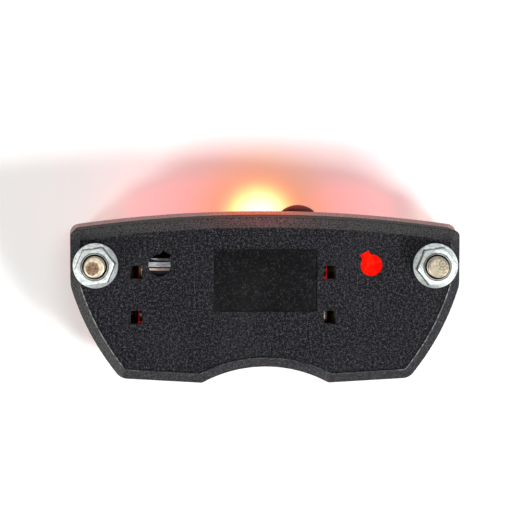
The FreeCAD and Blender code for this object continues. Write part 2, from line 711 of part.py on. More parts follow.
def tongue(name, base, tip, z):
    """A bowed strip from a contact plate towards a cell's end."""
    low = size("plate_wall") + size("cell_floor_gap") + size("cell_chamfer")
    high = low + 2 * (size("cell_radius") - size("cell_chamfer"))
    middle = (low + high) / 2
    sheet = size("contact_sheet")
    behind = tip + math.copysign(sheet, base - tip)
    corners = [FreeCAD.Vector(base, y, 0) for y in (low, high, high - sheet, low + sheet)]
    front = Part.Arc(corners[0], FreeCAD.Vector(tip, middle, 0), corners[1])
    back = Part.Arc(corners[2], FreeCAD.Vector(behind, middle, 0), corners[3])
    edges = [front, Part.LineSegment(corners[1], corners[2]), back, Part.LineSegment(corners[3], corners[0])]
    wire = Part.Wire([edge.toShape() for edge in edges])
    strip = doc.addObject("Part::Feature", name)
    strip.Shape = Part.Face(wire).extrude(FreeCAD.Vector(0, 0, size("tongue_width")))
    place(strip, 0, 0, "%s - [tongue_width] / 2" % z)
    return strip


def contacts():
    """Sprung contacts: a bridge across both cells, and one for each pole."""
    cell_left = size("cell_centre") - size("cell_length") / 2
    cell_right = size("cell_centre") + size("cell_length") / 2
    plate_left = cell_left - size("contact_gap")
    plate_right = cell_right + size("contact_gap")
    back = "[plate_wall] + [cell_floor_gap]"
    depth = "2 * [cell_radius]"
    low = "%s - [contact_width] / 2" % CELL_ROWS["lower"]
    plate = box("BridgePlate", ("%s - [contact_sheet]" % PLATE_LEFT, back, low),
                ("[contact_sheet]", depth, "[cell_pitch] + [contact_width]"))
    bows = []
    for row, z in CELL_ROWS.items():
        bows.append(tongue("BridgeBow" + row, plate_left, cell_left - size("tongue_gap"), z))
    finish(fused("Bridge", [plate] + bows), "contact_bridge")

    upper_back = "%s + 2 * [riser_width]" % back
    upper_low = "%s - [contact_width] / 2" % CELL_ROWS["upper"]
    upper = box("PositivePlate", (PLATE_RIGHT, upper_back, upper_low),
                ("[contact_sheet]", "%s - 2 * [riser_width]" % depth, "[contact_width] - [rail_lip]"))
    upper_tab = box("PositiveTab", (PLATE_RIGHT, CELL_DEPTH, upper_low),
                    ("[contact_sheet]", "[riser_width]", "%s - (%s)" % (TAB_TOP, upper_low)))
    upper_bow = tongue("PositiveBow", plate_right, cell_right + size("tongue_gap"), CELL_ROWS["upper"])
    finish(fused("Positive", [upper, upper_tab, upper_bow]), "contact_positive")

    lower = box("NegativePlate", (PLATE_RIGHT, back, low),
                ("[contact_sheet]", depth, "[contact_width]"))
    riser = box("NegativeRiser", (PLATE_RIGHT, back, low),
                ("[contact_sheet]", "[riser_width]", "%s - (%s)" % (TAB_TOP, low)))
    lower_bow = tongue("NegativeBow", plate_right, cell_right + size("tongue_gap"), CELL_ROWS["lower"])
    finish(fused("Negative", [lower, riser, lower_bow]), "contact_negative")


def circuit_board():
    """The board over the cells, notched for the diode and slotted for the contacts."""
    board = box("BoardBlank", ("-[board_half_width]", "[board_back]", "[board_height]"),
                ("2 * [board_half_width]", "[board_front] - [board_back]", "[board_thickness]"))
    below = "[board_height] - [overcut]"
    through = "[board_thickness] + 2 * [overcut]"
    tools = [middle_box("DiodeNotch", (0, "[led_back] - [lead_clearance]", "[board_height]"),
                        ("2 * ([led_flange_radius] + [lead_clearance])", "[board_front]", through))]
    for name, y in (("Positive", CELL_DEPTH), ("Negative", "[plate_wall] + [cell_floor_gap]")):
        corner = ("%s - [lead_clearance]" % PLATE_RIGHT, "%s - [lead_clearance]" % y, below)
        tools.append(box(name + "Slot", corner,
                         ("[contact_sheet] + 2 * [lead_clearance]", "[riser_width] + 2 * [lead_clearance]",
                          through)))
    for sign in (-1, 1):
        tools.append(middle_box("LeadHole%s" % ("A" if sign < 0 else "B"),
                                ("%d * [lead_spacing] / 2" % sign,
                                 "[led_back] - [lead_reach] - [lead_clearance]", "[board_height]"),
                                ("[lead_size] + 2 * [lead_clearance]",
                                 "[lead_size] + 2 * [lead_clearance]", through)))
    finish(cut("CircuitBoard", board, tools), "circuit_board")


def diode():
    """The diode, its two leads and the spacer that holds it square."""
    flange = cylinder("DiodeFlange", (0, "[led_back]", "[led_height]"), FORWARD,
                      "[led_flange_radius]", "[led_flange_height]")
    barrel = cylinder("DiodeBarrel", (0, "[led_back]", "[led_height]"), FORWARD,
                      "[led_radius]", "[led_barrel]")
    dome = ball("DiodeDome", (0, "[led_back] + [led_barrel]", "[led_height]"), "[led_radius]")
    finish(fused("Diode", [flange, barrel, dome]), "led")

    leads = []
    for sign in (-1, 1):
        x = "%d * [lead_spacing] / 2" % sign
        mark = "A" if sign < 0 else "B"
        run = middle_box("LeadRun" + mark, (x, "[led_back] - [lead_reach]", "[led_height]"),
                         ("[lead_size]", "[lead_reach]", "[lead_size]"))
        drop = box("LeadDrop" + mark, ("%s - [lead_size] / 2" % x, "[led_back] - [lead_reach]",
                                       "[board_height] - [lead_size]"),
                   ("[lead_size]", "[lead_size]", "[led_height] - [board_height] + [lead_size]"))
        leads.append(fused("Lead" + mark, [run, drop]))
    group = doc.addObject("Part::Compound", "Leads")
    group.Links = leads
    finish(group, "led_leads")

    block = middle_box("SpacerBlock", (0, "[led_back] - [lead_reach] + [lead_size] + [lead_clearance]",
                                       "(%s + [led_height] + [led_radius]) / 2" % BOARD_TOP),
                       ("2 * [led_radius]", "[lead_reach] - [lead_size] - 2 * [lead_clearance]",
                        "[led_height] + [led_radius] - %s" % BOARD_TOP))
    ways = []
    for sign in (-1, 1):
        ways.append(middle_box("SpacerWay%s" % ("A" if sign < 0 else "B"),
                               ("%d * [lead_spacing] / 2" % sign, "[led_back] - [lead_reach] - [overcut]",
                                "[led_height]"),
                               ("[lead_size] + 2 * [lead_clearance]", "[lead_reach] + 2 * [overcut]",
                                "[lead_size] + 2 * [lead_clearance]")))
    finish(cut("Spacer", block, ways), "led_spacer")


def switch():
    """The switch on the board and its plunger."""
    body = middle_box("SwitchBlock", ("[button_across]", "[button_along] - [switch_side] / 2",
                                      "%s + [switch_body_height] / 2" % BOARD_TOP),
                      ("[switch_side]", "[switch_side]", "[switch_body_height]"))
    top = "%s + [switch_body_height]" % BOARD_TOP
    well = cylinder("PlungerWell", ("[button_across]", "[button_along]",
                                    "%s - [plunger_depth] - [press_travel] - [slot_clearance]" % top),
                    UPWARD, "[plunger_radius] + [thread_clearance]", "[switch_body_height]")
    finish(cut("Switch", body, [well]), "switch_body")
    plunger = cylinder("Plunger", ("[button_across]", "[button_along]", "%s - [plunger_depth]" % top), UPWARD,
                       "[plunger_radius]", "[plunger_depth] + [plunger_rise]")
    finish(plunger, "switch_plunger")


BUTTON_FOOT = "(%s + [switch_body_height] + [plunger_rise] + [touch_gap])" % BOARD_TOP
BUTTON_POCKET = "([top_height] - [button_web])"


def push_button():
    """The domed push button: skirt, keeping flange and the stem inside."""
    cap_rise = "([dome_radius] - sqrt([dome_radius]^2 - [button_radius]^2))"
    flange_foot = "(%s - [button_clearance] - [button_flange_height])" % BUTTON_POCKET
    barrel = cylinder("ButtonBarrel", ("[button_across]", "[button_along]", flange_foot), UPWARD,
                      "[button_radius]", "[button_top] - %s" % flange_foot)
    dome = ball("ButtonDome", ("[button_across]", "[button_along]", "[button_top] - [dome_radius]"),
                "[dome_radius]")
    low = cylinder("ButtonSkirt", ("[button_across]", "[button_along]", flange_foot), UPWARD,
                   "[button_radius]", "[button_top] - %s - %s" % (cap_rise, flange_foot))
    crown = shared("ButtonCrown", barrel, dome)
    flange = cylinder("ButtonFlange", ("[button_across]", "[button_along]", flange_foot), UPWARD,
                      "[button_flange_radius]", "[button_flange_height]")
    stem = cylinder("ButtonStem", ("[button_across]", "[button_along]", BUTTON_FOOT), UPWARD,
                    "[stem_radius]", "[button_top] - [button_skin] - %s" % BUTTON_FOOT)
    room = cylinder("ButtonRoom", ("[button_across]", "[button_along]", "%s - [overcut]" % flange_foot),
                    UPWARD, "[button_radius] - [button_skin]",
                    "[button_top] - %s - [button_skin] - %s + [overcut]" % (cap_rise, flange_foot))
    cap = cut("ButtonCap", fused("ButtonOuter", [crown, low, flange]), [room])
    finish(fused("PushButton", [cap, stem]), "push_button")


# How many straight steps the lens's rounded edge is made in.
EDGE_STEPS = 5


def lens_shell(name, wall):
    """The lens's rounded form, or the hollow in it where a wall is given."""
    edge = size("lens_edge")
    depth = size("lens_edge_depth")
    wires = [outline(name + "Back", wall or -size("lens_brim"), LEDGE if wall else LENS_BACK)]
    for step in range(EDGE_STEPS + 1):
        angle = math.radians(90 * step / EDGE_STEPS)
        inset = wall + size("lens_draft") + (edge - wall) * (1 - math.cos(angle))
        setback = depth - (depth - wall) * math.sin(angle)
        wires.append(outline("%sStep%d" % (name, step), inset, "%s - %.4f" % (LENS_FRONT, setback)))
    return skin(name, wires)


def lens_cover():
    """The red lens: rounded face, skirt in the rebate, screw tubes, button hole."""
    outer = lens_shell("LensOuter", 0.0)
    skirt_inset = size("lip_wall") + size("skirt_clearance")
    skirt = slab("SkirtOuter", outline("SkirtLine", skirt_inset, "%s + [seal_height] + [touch_gap]" % LEDGE),
                 "[lip_depth] - [seal_height] + [lens_wall]")
    hollow = lens_shell("LensHollow", size("lens_wall"))
    bore_inset = skirt_inset + size("skirt_wall")
    skirt_bore = slab("SkirtBore", outline("SkirtBoreLine", bore_inset, LEDGE), "[lip_depth] + [lens_wall]")
    shell = cut("LensShell", fused("LensBlank", [outer, skirt]), [hollow, skirt_bore])
    solids = [shell]
    for side, x in SCREWS.items():
        solids.append(cylinder("ScrewTube" + side, (x, "[post_depth] + [tube_gap]", "[screw_height]"),
                               FORWARD, "[tube_radius]", "%s - [post_depth] - [tube_gap]" % LENS_INNER))
    optic = ball("OpticBall", (0, "%s - [optic_depth] + [optic_curve]" % LENS_INNER, "[led_height]"),
                 "[optic_curve]")
    bound = cylinder("OpticBound", (0, "%s - [optic_depth]" % LENS_INNER, "[led_height]"), FORWARD,
                     "[optic_radius]", "[optic_depth] + [lens_wall] / 2")
    solids.append(shared("Optic", optic, bound))
    holes = []
    for side, x in SCREWS.items():
        seat = "%s - [screw_sink] - [screw_head_height]" % LENS_FRONT
        holes.append(cylinder("ScrewWay" + side, (x, "[post_depth] - [overcut]", "[screw_height]"), FORWARD,
                              "[screw_radius] + [screw_clearance]", "[lens_depth] + 2 * [overcut]"))
        holes.append(cylinder("ScrewSink" + side, (x, seat, "[screw_height]"), FORWARD,
                              "[screw_head_radius] + [screw_clearance]", "[lens_edge]"))
    holes.append(cylinder("ButtonHole", ("[button_across]", "[button_along]", "[board_height]"), UPWARD,
                          "[button_radius] + [button_clearance]", "[top_height]"))
    holes.append(cylinder("ButtonPocket", ("[button_across]", "[button_along]", "[board_height]"), UPWARD,
                          "[button_flange_radius] + [button_clearance]",
                          "%s - [board_height]" % BUTTON_POCKET))
    finish(cut("LensCover", fused("LensSolid", solids), holes), "lens_cover")


def cover_seal():
    """The rubber seal on the ledge behind the lens's skirt."""
    outer_inset = size("lip_wall") + size("skirt_clearance")
    inner_inset = outer_inset + size("skirt_wall")
    outer = slab("SealOuter", outline("SealOuterLine", outer_inset, LEDGE), "[seal_height]")
    inner = slab("SealInner", outline("SealInnerLine", inner_inset, "%s - [overcut]" % LEDGE),
                 "[seal_height] + 2 * [overcut]")
    finish(cut("Seal", outer, [inner]), "cover_seal")


def cover_screws():
    """The two screws that hold the lens on."""
    screws = []
    for side, x in SCREWS.items():
        seat = "%s - [screw_sink] - [screw_head_height]" % LENS_FRONT
        head = cylinder("ScrewHead" + side, (x, seat, "[screw_height]"), FORWARD,
                        "[screw_head_radius]", "[screw_head_height]")
        shank = cylinder("ScrewShank" + side, (x, seat, "[screw_height]"), BACKWARD,
                         "[screw_radius]", "[screw_length]")
        screws.append(fused("Screw" + side, [head, shank]))
    group = doc.addObject("Part::Compound", "CoverScrews")
    group.Links = screws
    finish(group, "cover_screws")


def prism_faces(half_x, half_z):
    """The sloping faces of square pyramids side by side, their tips pointing back."""
    across = round(2 * half_x / size("prism_pitch"))
    up = round(2 * half_z / size("prism_pitch"))
    pitch = size("prism_pitch")
    faces = []
    for column in range(across):
        for row in range(up):
            low = FreeCAD.Vector(column * pitch - half_x, 0, row * pitch - half_z)
            corners = [low + FreeCAD.Vector(pitch * right, 0, pitch * raised)
                       for right, raised in ((0, 0), (1, 0), (1, 1), (0, 1))]
            tip = low + FreeCAD.Vector(pitch / 2, -size("prism_height"), pitch / 2)
            for start, end in zip(corners, corners[1:] + corners[:1]):
                faces.append(Part.Face(Part.makePolygon([start, end, tip, start])))
    return faces


def whole_pitches(extent):
    """Half the stretch that whole prisms fill within a reflector's plain edge."""
    pitch = size("prism_pitch")
    return int((extent - 2 * size("prism_margin")) / pitch) * pitch / 2


def reflectors():
    """Reflex panels behind the lens's face, their backs cut into prisms."""
    half_x = whole_pitches(size("reflector_width"))
    half_z = whole_pitches(size("reflector_tall"))
    field = Part.makePolygon([FreeCAD.Vector(-half_x, 0, -half_z), FreeCAD.Vector(half_x, 0, -half_z),
                              FreeCAD.Vector(half_x, 0, half_z), FreeCAD.Vector(-half_x, 0, half_z),
                              FreeCAD.Vector(-half_x, 0, -half_z)])
    for side, sign in (("left", -1), ("right", 1)):
        line = rounded_rectangle("ReflectorLine" + side, (0, 0), size("reflector_width"),
                                 size("reflector_tall"), size("reflector_round"), 0)
        rear = Part.Face(line.Shape)
        sheet_sides = [face for face in rear.extrude(Y_AXIS * size("reflector_sheet")).Faces
                       if face.CenterOfMass.y > 0]
        border = rear.cut(Part.Face(field)).Faces
        shell = Part.makeShell(border + sheet_sides + prism_faces(half_x, half_z))
        shell.sewShape()
        solid = Part.makeSolid(shell)
        if solid.Volume < 0:
            solid.reverse()
        panel = doc.addObject("Part::Feature", "Reflector" + side)
        panel.Shape = solid
        place(panel, "%d * [reflector_across]" % sign, "%s - [reflector_sheet]" % LENS_INNER,
              "[reflector_height]")
        finish(panel, "reflector_" + side)


def components():
    """The small parts on the board: driver, inductor, capacitor, resistors."""
    chip_x = "-[board_half_width] / 2"
    chip_y = "[board_back] + [chip_length]"
    chip = middle_box("Chip", (chip_x, chip_y, "%s + [chip_height] / 2" % BOARD_TOP),
                      ("[chip_length]", "[chip_width]", "[chip_height]"))
    finish(chip, "driver_chip")
    leads = []
    for row, y in enumerate(("%s - [chip_lead_reach]" % chip_y, "%s + [chip_width]" % chip_y)):
        for place_in_row in range(4):
            x = "%s + %.1f * [chip_pitch] - [chip_lead_width] / 2" % (chip_x, place_in_row - 1.5)
            leads.append(box("ChipLead%d%d" % (row, place_in_row), (x, y, BOARD_TOP),
                             ("[chip_lead_width]", "[chip_lead_reach]", "[chip_height] / 2")))
    group = doc.addObject("Part::Compound", "ChipLeads")
    group.Links = leads
    finish(group, "chip_leads")

    coil = cylinder("Inductor", ("0", "[board_back] + 2 * [inductor_radius]", BOARD_TOP), UPWARD,
                    "[inductor_radius]", "[inductor_height]")
    finish(coil, "boost_inductor")
    capacitor = middle_box("Capacitor", ("[board_half_width] / 2", "[board_back] + [capacitor_width]",
                                         "%s + [capacitor_height] / 2" % BOARD_TOP),
                           ("[capacitor_length]", "[capacitor_width]", "[capacitor_height]"))
    finish(capacitor, "capacitor")
    resistors = []
    for index in range(4):
        y = "[board_back] + [chip_length] + [chip_width] + 2 * [chip_lead_reach] + [resistor_width]"
        x = "%s + %.1f * ([resistor_length] + [resistor_width])" % (chip_x, index - 1.5)
        resistors.append(middle_box("Resistor%d" % index, (x, y, "%s + [resistor_height] / 2" % BOARD_TOP),
                                    ("[resistor_length]", "[resistor_width]", "[resistor_height]")))
    group = doc.addObject("Part::Compound", "Resistors")
    group.Links = resistors
    finish(group, "resistors")


rear_housing()
bolts()
nuts()
cells_in_bay()
contacts()
circuit_board()
diode()
switch()
push_button()
lens_cover()
cover_seal()
cover_screws()
reflectors()
components()
doc.recompute()

for thing in doc.Objects:
    if "Invalid" in thing.State or "Error" in thing.State:
        raise ValueError("%s failed to build: %s" % (thing.Name, thing.State))

os.makedirs("parts", exist_ok=True)
for part in PARTS:
    shape = part.Shape
    if shape.isNull() or not shape.isValid() or not shape.Solids:
        raise ValueError("%s is not a valid solid" % part.Label)
    shape.exportStep("parts/%s.step" % part.Label)
    print("%-18s %2d solids %9.2f mm3" % (part.Label, len(shape.Solids), shape.Volume))
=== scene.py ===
import math
from functools import partialmethod

import bmesh
import bpy
import numpy as np
from bpy.props import FloatProperty, FloatVectorProperty, IntProperty, PointerProperty
from mathutils import Matrix, Vector


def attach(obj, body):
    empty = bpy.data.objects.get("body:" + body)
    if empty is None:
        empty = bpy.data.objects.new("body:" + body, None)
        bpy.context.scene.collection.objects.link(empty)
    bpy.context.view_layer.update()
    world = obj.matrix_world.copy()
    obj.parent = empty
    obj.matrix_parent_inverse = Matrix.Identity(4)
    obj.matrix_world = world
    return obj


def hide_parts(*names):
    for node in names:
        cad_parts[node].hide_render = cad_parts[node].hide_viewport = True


bl_info = {
    "name": "Rack Tail Light Dresser",
    "version": (1, 0, 0),
    "blender": (4, 5, 0),
    "location": "3D View > Sidebar > Tail Light",
    "description": "Dresses a battery tail light that bolts to a luggage rack",
    "category": "Object",
}

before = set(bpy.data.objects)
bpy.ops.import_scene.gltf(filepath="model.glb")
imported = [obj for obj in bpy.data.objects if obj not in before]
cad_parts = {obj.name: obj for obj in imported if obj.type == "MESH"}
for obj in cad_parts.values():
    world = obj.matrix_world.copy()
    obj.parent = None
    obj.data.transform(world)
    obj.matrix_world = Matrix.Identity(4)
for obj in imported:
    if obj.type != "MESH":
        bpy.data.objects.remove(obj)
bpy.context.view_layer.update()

MM = 0.001
WHITE = (1.0, 1.0, 1.0)
BACKWARD = Matrix.Rotation(math.pi / 2, 4, "X")
FORWARD = Matrix.Rotation(-math.pi / 2, 4, "X")
STUDS = {"left": -40 * MM, "right": 40 * MM}
COVER_SCREWS = {"left": -25 * MM, "right": 25 * MM}
REFLECTORS = {"left": -24.3 * MM, "right": 24.3 * MM}
BOSS_FACE = -0.5 * MM
BUTTON_AXIS = (8.5 * MM, 20.5 * MM, 0.0)
DIODE_FOOT = (0.0, 18.6 * MM, 5.9 * MM)
SCREW_SEAT = (27 * MM, -21.6 * MM)
PANEL_MIDDLE = (26.6 * MM, -5.9 * MM)
CLEAR_PLASTIC = 1.49


def tint(red, green, blue):
    """A linear colour from values of 0 to 255 as seen on a screen."""
    return tuple(v / 255 / 12.92 if v < 11 else ((v / 255 + 0.055) / 1.055) ** 2.4 for v in (red, green, blue))


def scaled(colour, share, lift=0.0):
    """A colour made darker or lighter."""
    return tuple(min(1.0, v * share + lift) for v in colour)


# Settings that a user would change


LENGTH = {"min": 0, "subtype": "DISTANCE", "unit": "LENGTH", "precision": 5}
PLACE = {"size": 3, "subtype": "TRANSLATION", "unit": "LENGTH", "precision": 4}
ANGLE = {"subtype": "ANGLE", "unit": "ROTATION"}
POWER = {"min": 0, "unit": "POWER", "precision": 4}
COLOUR = {"min": 0, "max": 1, "size": 3, "subtype": "COLOR"}
COUNT = {"min": 3}
SHARE = {"min": 0, "max": 1, "subtype": "FACTOR"}


def settings(options, rows):
    """Blender properties of one kind, from descriptions and defaults by name."""
    made = {}
    for name, (description, default) in rows.items():
        kind = FloatVectorProperty if "size" in options else IntProperty if options is COUNT else FloatProperty
        title = name.replace("_", " ").capitalize()
        made[name] = kind(name=title, description=description, default=default, **options)
    return made


class TailLightSizes(bpy.types.PropertyGroup):
    """Sizes of the parts that are made anew"""

    __annotations__ = settings(LENGTH, {
        "edge_round": ("Width of the worn edge on moulded parts", 0.00014),
        "small_edge_round": ("Width of the edge on small parts", 0.00006),
        "thread_pitch": ("Rise of the studs' thread in one turn", 0.0008),
        "stud_radius": ("Outer radius of the studs' thread", 0.0025),
        "tip_radius": ("Radius of a stud's end face", 0.002),
        "nut_flats": ("Width across the nuts' flats", 0.008),
        "flange_radius": ("Radius of the nuts' flange", 0.0053),
        "prism_pitch": ("Spacing of the reflectors' prisms", 0.00092),
        "screw_pitch": ("Rise of the cover screws' thread in one turn", 0.0009),
    }) | settings(ANGLE, {
        "hexagon_turn": ("Turn of the nuts' corners from the body's length", math.radians(8)),
    }) | settings(COUNT, {
        "thread_columns": ("Faces round a stud's thread", 56),
        "button_columns": ("Faces round the button", 72),
    })


class TailLightColours(bpy.types.PropertyGroup):
    """Colours of the parts"""

    __annotations__ = settings(COLOUR, {
        "moulding": ("Black of the moulded housing", tint(5, 6, 8)),
        "recess": ("Black of the bare recess", tint(2, 2, 3)),
        # The next two colours are painted glints, light points laid into the moulding's grain
        "moulding_grain": ("Cooler light points of the moulding's grain", tint(80, 86, 99)),
        "moulding_warm": ("Warmer light points of the moulding's grain", tint(90, 83, 85)),
        # The next colour is the rim's grey with painted light, used on the top slope, the top wall and the lower
        # left flank
        "slope_high": ("Grey of the rim along the top", tint(104, 105, 102)),
        "slope_low": ("Grey of the rim along the bottom", tint(29, 30, 32)),
        # The next colour is a painted highlight along the rim's crest, where its edge would catch the lower lamps
        "crest": ("Worn line along the rim's crest", tint(150, 152, 150)),
        # The next two colours are a painted glow, emission in the lens's frosted rim standing in for the diode's
        # light
        "rim": ("Light in the frosted rim of the lens", tint(140, 114, 112)),
        "rim_glow": ("Light in the lens's rim next to the diode", tint(216, 108, 74)),
        "lens": ("Red of the lens", (0.80, 0.030, 0.020)),
        "lens_pass": ("Light that one wall of the lens lets by", (0.68, 0.63, 0.58)),
        # The next two colours are a painted glow, emission in the reflectors standing in for the diode's light
        "prism_glow": ("Light in the reflectors from the diode", (0.96, 0.004, 0.002)),
        "prism_warm": ("Warmer patches of the reflectors' light", (0.96, 0.020, 0.005)),
        "prisms": ("Red of the reflectors", (0.85, 0.020, 0.018)),
        "zinc": ("Bluish white of the nuts' coat", tint(236, 242, 240)),
        "zinc_stain": ("Grey blue patches of the nuts", tint(140, 154, 158)),
        # The next colour is painted shade, used at the nuts' hexagon foot and bore ring and on the bolts' thread
        # beside the nut
        "grime": ("Dirt in corners and threads", tint(26, 26, 24)),
        "bolt": ("Coat of the bolts", tint(190, 180, 164)),
        "bolt_core": ("Brown middle of the bolts' ends", tint(150, 118, 94)),
        "bolt_ring": ("Cream ring of the bolts' ends", tint(246, 232, 204)),
        "button": ("Rubber of the push button", tint(66, 8, 8)),
        # The next colour is painted light, the paler top of the push button
        "button_crown": ("Paler crown of the push button", tint(142, 62, 62)),
        "seal": ("Rubber of the seal", tint(30, 30, 31)),
        "cell_silver": ("Bright band of a cell's jacket", tint(252, 252, 253)),
        "cell_black": ("Dark band of a cell's jacket", tint(5, 5, 6)),
        "cell_grey": ("Streaked grey band of a cell's jacket", tint(214, 215, 220)),
        "cell_cream": ("Edges of a cell's thin band", tint(255, 236, 220)),
        "cell_copper": ("Thin band of a cell's jacket", tint(246, 170, 110)),
        "contact": ("Nickel of the contacts", tint(176, 168, 154)),
        "board": ("Green of the circuit board", tint(18, 84, 46)),
        "board_track": ("Lighter green over the copper", tint(36, 118, 66)),
        "pad": ("Tinned ends of small parts", tint(204, 204, 200)),
        "diode": ("Resin of the diode", (0.90, 0.09, 0.06)),
        "die_glow": ("Light of the diode's die", (1.0, 0.32, 0.16)),
        "spacer": ("Plastic under the diode", tint(26, 26, 26)),
        "switch": ("Plastic of the switch", tint(28, 28, 30)),
        "plunger": ("White of the switch's plunger", tint(222, 220, 212)),
        "chip": ("Resin of the driver chip", tint(32, 33, 35)),
        "inductor": ("Ferrite of the inductor", tint(72, 70, 70)),
        "capacitor": ("Body of the capacitor", tint(150, 112, 72)),
        "resistor": ("Face of the resistors", tint(24, 24, 26)),
        "screw": ("Dark coat of the cover screws", tint(120, 120, 124)),
    })


class TailLightStage(bpy.types.PropertyGroup):
    """Paper, lamps and camera"""

    __annotations__ = settings(COLOUR, {
        "paper": ("Colour of the paper", (0.80, 0.80, 0.80)),
        # The next two entries paint a pool of orange light on the paper beside the lit diode
        "warm_paper": ("Colour of the paper beside the lit diode", (0.80, 0.80, 0.46)),
        "warm_lift": ("The added brightness beside the lit diode", (0.85, 0.30, 0.12)),
        "left_colour": ("Colour of the lamp at the lower left", (1.0, 0.975, 0.93)),
        "glow_colour": ("Colour of the light behind the lens", (1.0, 0.70, 0.42)),
        "spill_colour": ("Colour of the light that the whole lens scatters", (1.0, 0.10, 0.08)),
        "top_colour": ("Colour of the light over the top slope", (1.0, 0.12, 0.14)),
        "inside_colour": ("Colour of the light inside the body", (1.0, 0.02, 0.02)),
    }) | settings(SHARE, {
        "paper_lift": ("Brightness that the camera adds to the paper", 0.24),
        "surround": ("Strength of the soft light all round", 0.12),
    }) | settings(LENGTH, {
        "paper_place": ("Distance of the paper behind the seat face", 0.03005),
        "lamp_size": ("Side of the square lamps", 0.15),
    }) | settings(POWER, {
        "left_power": ("Power of the lamp at the lower left", 3.8),
        "right_power": ("Power of the lamp at the lower right", 4.4),
        "front_power": ("Power of the lamp beside the camera", 1.0),
        "glow_power": ("Power of the light behind the lens", 0.030),
        "spill_power": ("Power of the light that the whole lens scatters", 0.006),
        "top_power": ("Power of the red light over the top slope", 0.0065),
        "inside_power": ("Power of the red light inside the body", 0.004),
    }) | settings(PLACE, {
        "left_place": ("Place of the lamp at the lower left", (-0.556, -0.49, -0.343)),
        "right_place": ("Place of the lamp at the lower right", (0.40, -0.49, -0.281)),
        "front_place": ("Place of the lamp beside the camera", (0.05, -0.62, 0.12)),
        "glow_place": ("Place of the light behind the lens", (-0.0007, 0.0180, 0.0095)),
        "spill_place": ("Place of the light that the whole lens scatters", (0.0, 0.0225, 0.0086)),
        "top_place": ("Place of the red light over the top slope", (-0.001, -0.0005, 0.021)),
        "inside_place": ("Place of the red light inside the body", (0.0, 0.0235, -0.006)),
        "camera_place": ("Place of the camera", (-0.018, -0.50, 0.0345)),
        "camera_target": ("Point in the middle of the picture", (-0.00021, -0.0005, 0.00016)),
    }) | settings(ANGLE, {
        "glow_spread": ("Width of the diode's beam", math.radians(88)),
        "camera_roll": ("Turn of the camera about its own line of sight", math.radians(0.13)),
    }) | settings({"min": 1}, {
        "camera_lens": ("Focal length on a 36 mm sensor", 144.7),
    })


def sizes():
    return bpy.context.scene.tail_light_sizes


# Shader wiring


class Wiring:
    """A node tree being wired"""

    def __init__(self, tree):
        self.tree = tree

    def add(self, kind, values=(), **options):
        made = self.tree.nodes.new(kind)
        for key, value in options.items():
            setattr(made, key, value)
        for socket, value in dict(values).items():
            self.feed(made.inputs[socket], value)
        return made

    def feed(self, socket, value):
        if isinstance(value, bpy.types.NodeSocket):
            self.tree.links.new(value, socket)
        elif socket.type == "RGBA" and len(value) == 3:
            socket.default_value = (*value, 1.0)
        else:
            socket.default_value = value

    def sum(self, operation, *values):
        """Values taken one after another through an operation."""
        total, *others = values
        for value in others or (0.0,):
            total = self.add("ShaderNodeMath", {0: total, 1: value}, operation=operation).outputs[0]
        return total

    times = partialmethod(sum, "MULTIPLY")
    plus = partialmethod(sum, "ADD")
    minus = partialmethod(sum, "SUBTRACT")
    over = partialmethod(sum, "DIVIDE")
    most = partialmethod(sum, "MAXIMUM")
    size = partialmethod(sum, "ABSOLUTE")

    def reach(self, x, y):
        """Distance of a point from its origin."""
        return self.sum("SQRT", self.plus(self.times(x, x), self.times(y, y)))

    def mix(self, factor, first, second):
        return self.add("ShaderNodeMix", {0: factor, 6: first, 7: second}, data_type="RGBA").outputs[2]

    def ramp(self, value, low, high, to_low=0.0, to_high=1.0):
        values = {0: value, 1: low, 2: high, 3: to_low, 4: to_high}
        return self.add("ShaderNodeMapRange", values, clamp=True).outputs[0]

    def fade(self, value, low, high):
        return self.ramp(value, low, high, 1.0, 0.0)

    def span(self, share, first, last):
        return self.ramp(share, 0.0, 1.0, first, last)

    def within(self, value, low, high, soft):
        """1 where value is between low and high, with soft edges."""
        return self.times(self.ramp(value, low - soft, low + soft), self.fade(value, high - soft, high + soft))

    def noise(self, vector, scale, detail=2.0, roughness=0.5):
        values = {"Vector": vector, "Scale": scale, "Detail": detail, "Roughness": roughness}
        return self.add("ShaderNodeTexNoise", values).outputs[0]

    def stretch(self, vector, scale):
        return self.add("ShaderNodeMapping", {"Vector": vector, "Scale": scale}).outputs[0]

    def turned(self, vector, angle, axis):
        values = {"Vector": vector, "Angle": angle}
        return self.add("ShaderNodeVectorRotate", values, rotation_type=axis + "_AXIS").outputs[0]

    def axes(self, vector):
        return self.add("ShaderNodeSeparateXYZ", {0: vector}).outputs

    def bump(self, height, distance, strength=1.0):
        values = {"Height": height, "Distance": distance, "Strength": strength}
        return self.add("ShaderNodeBump", values).outputs[0]


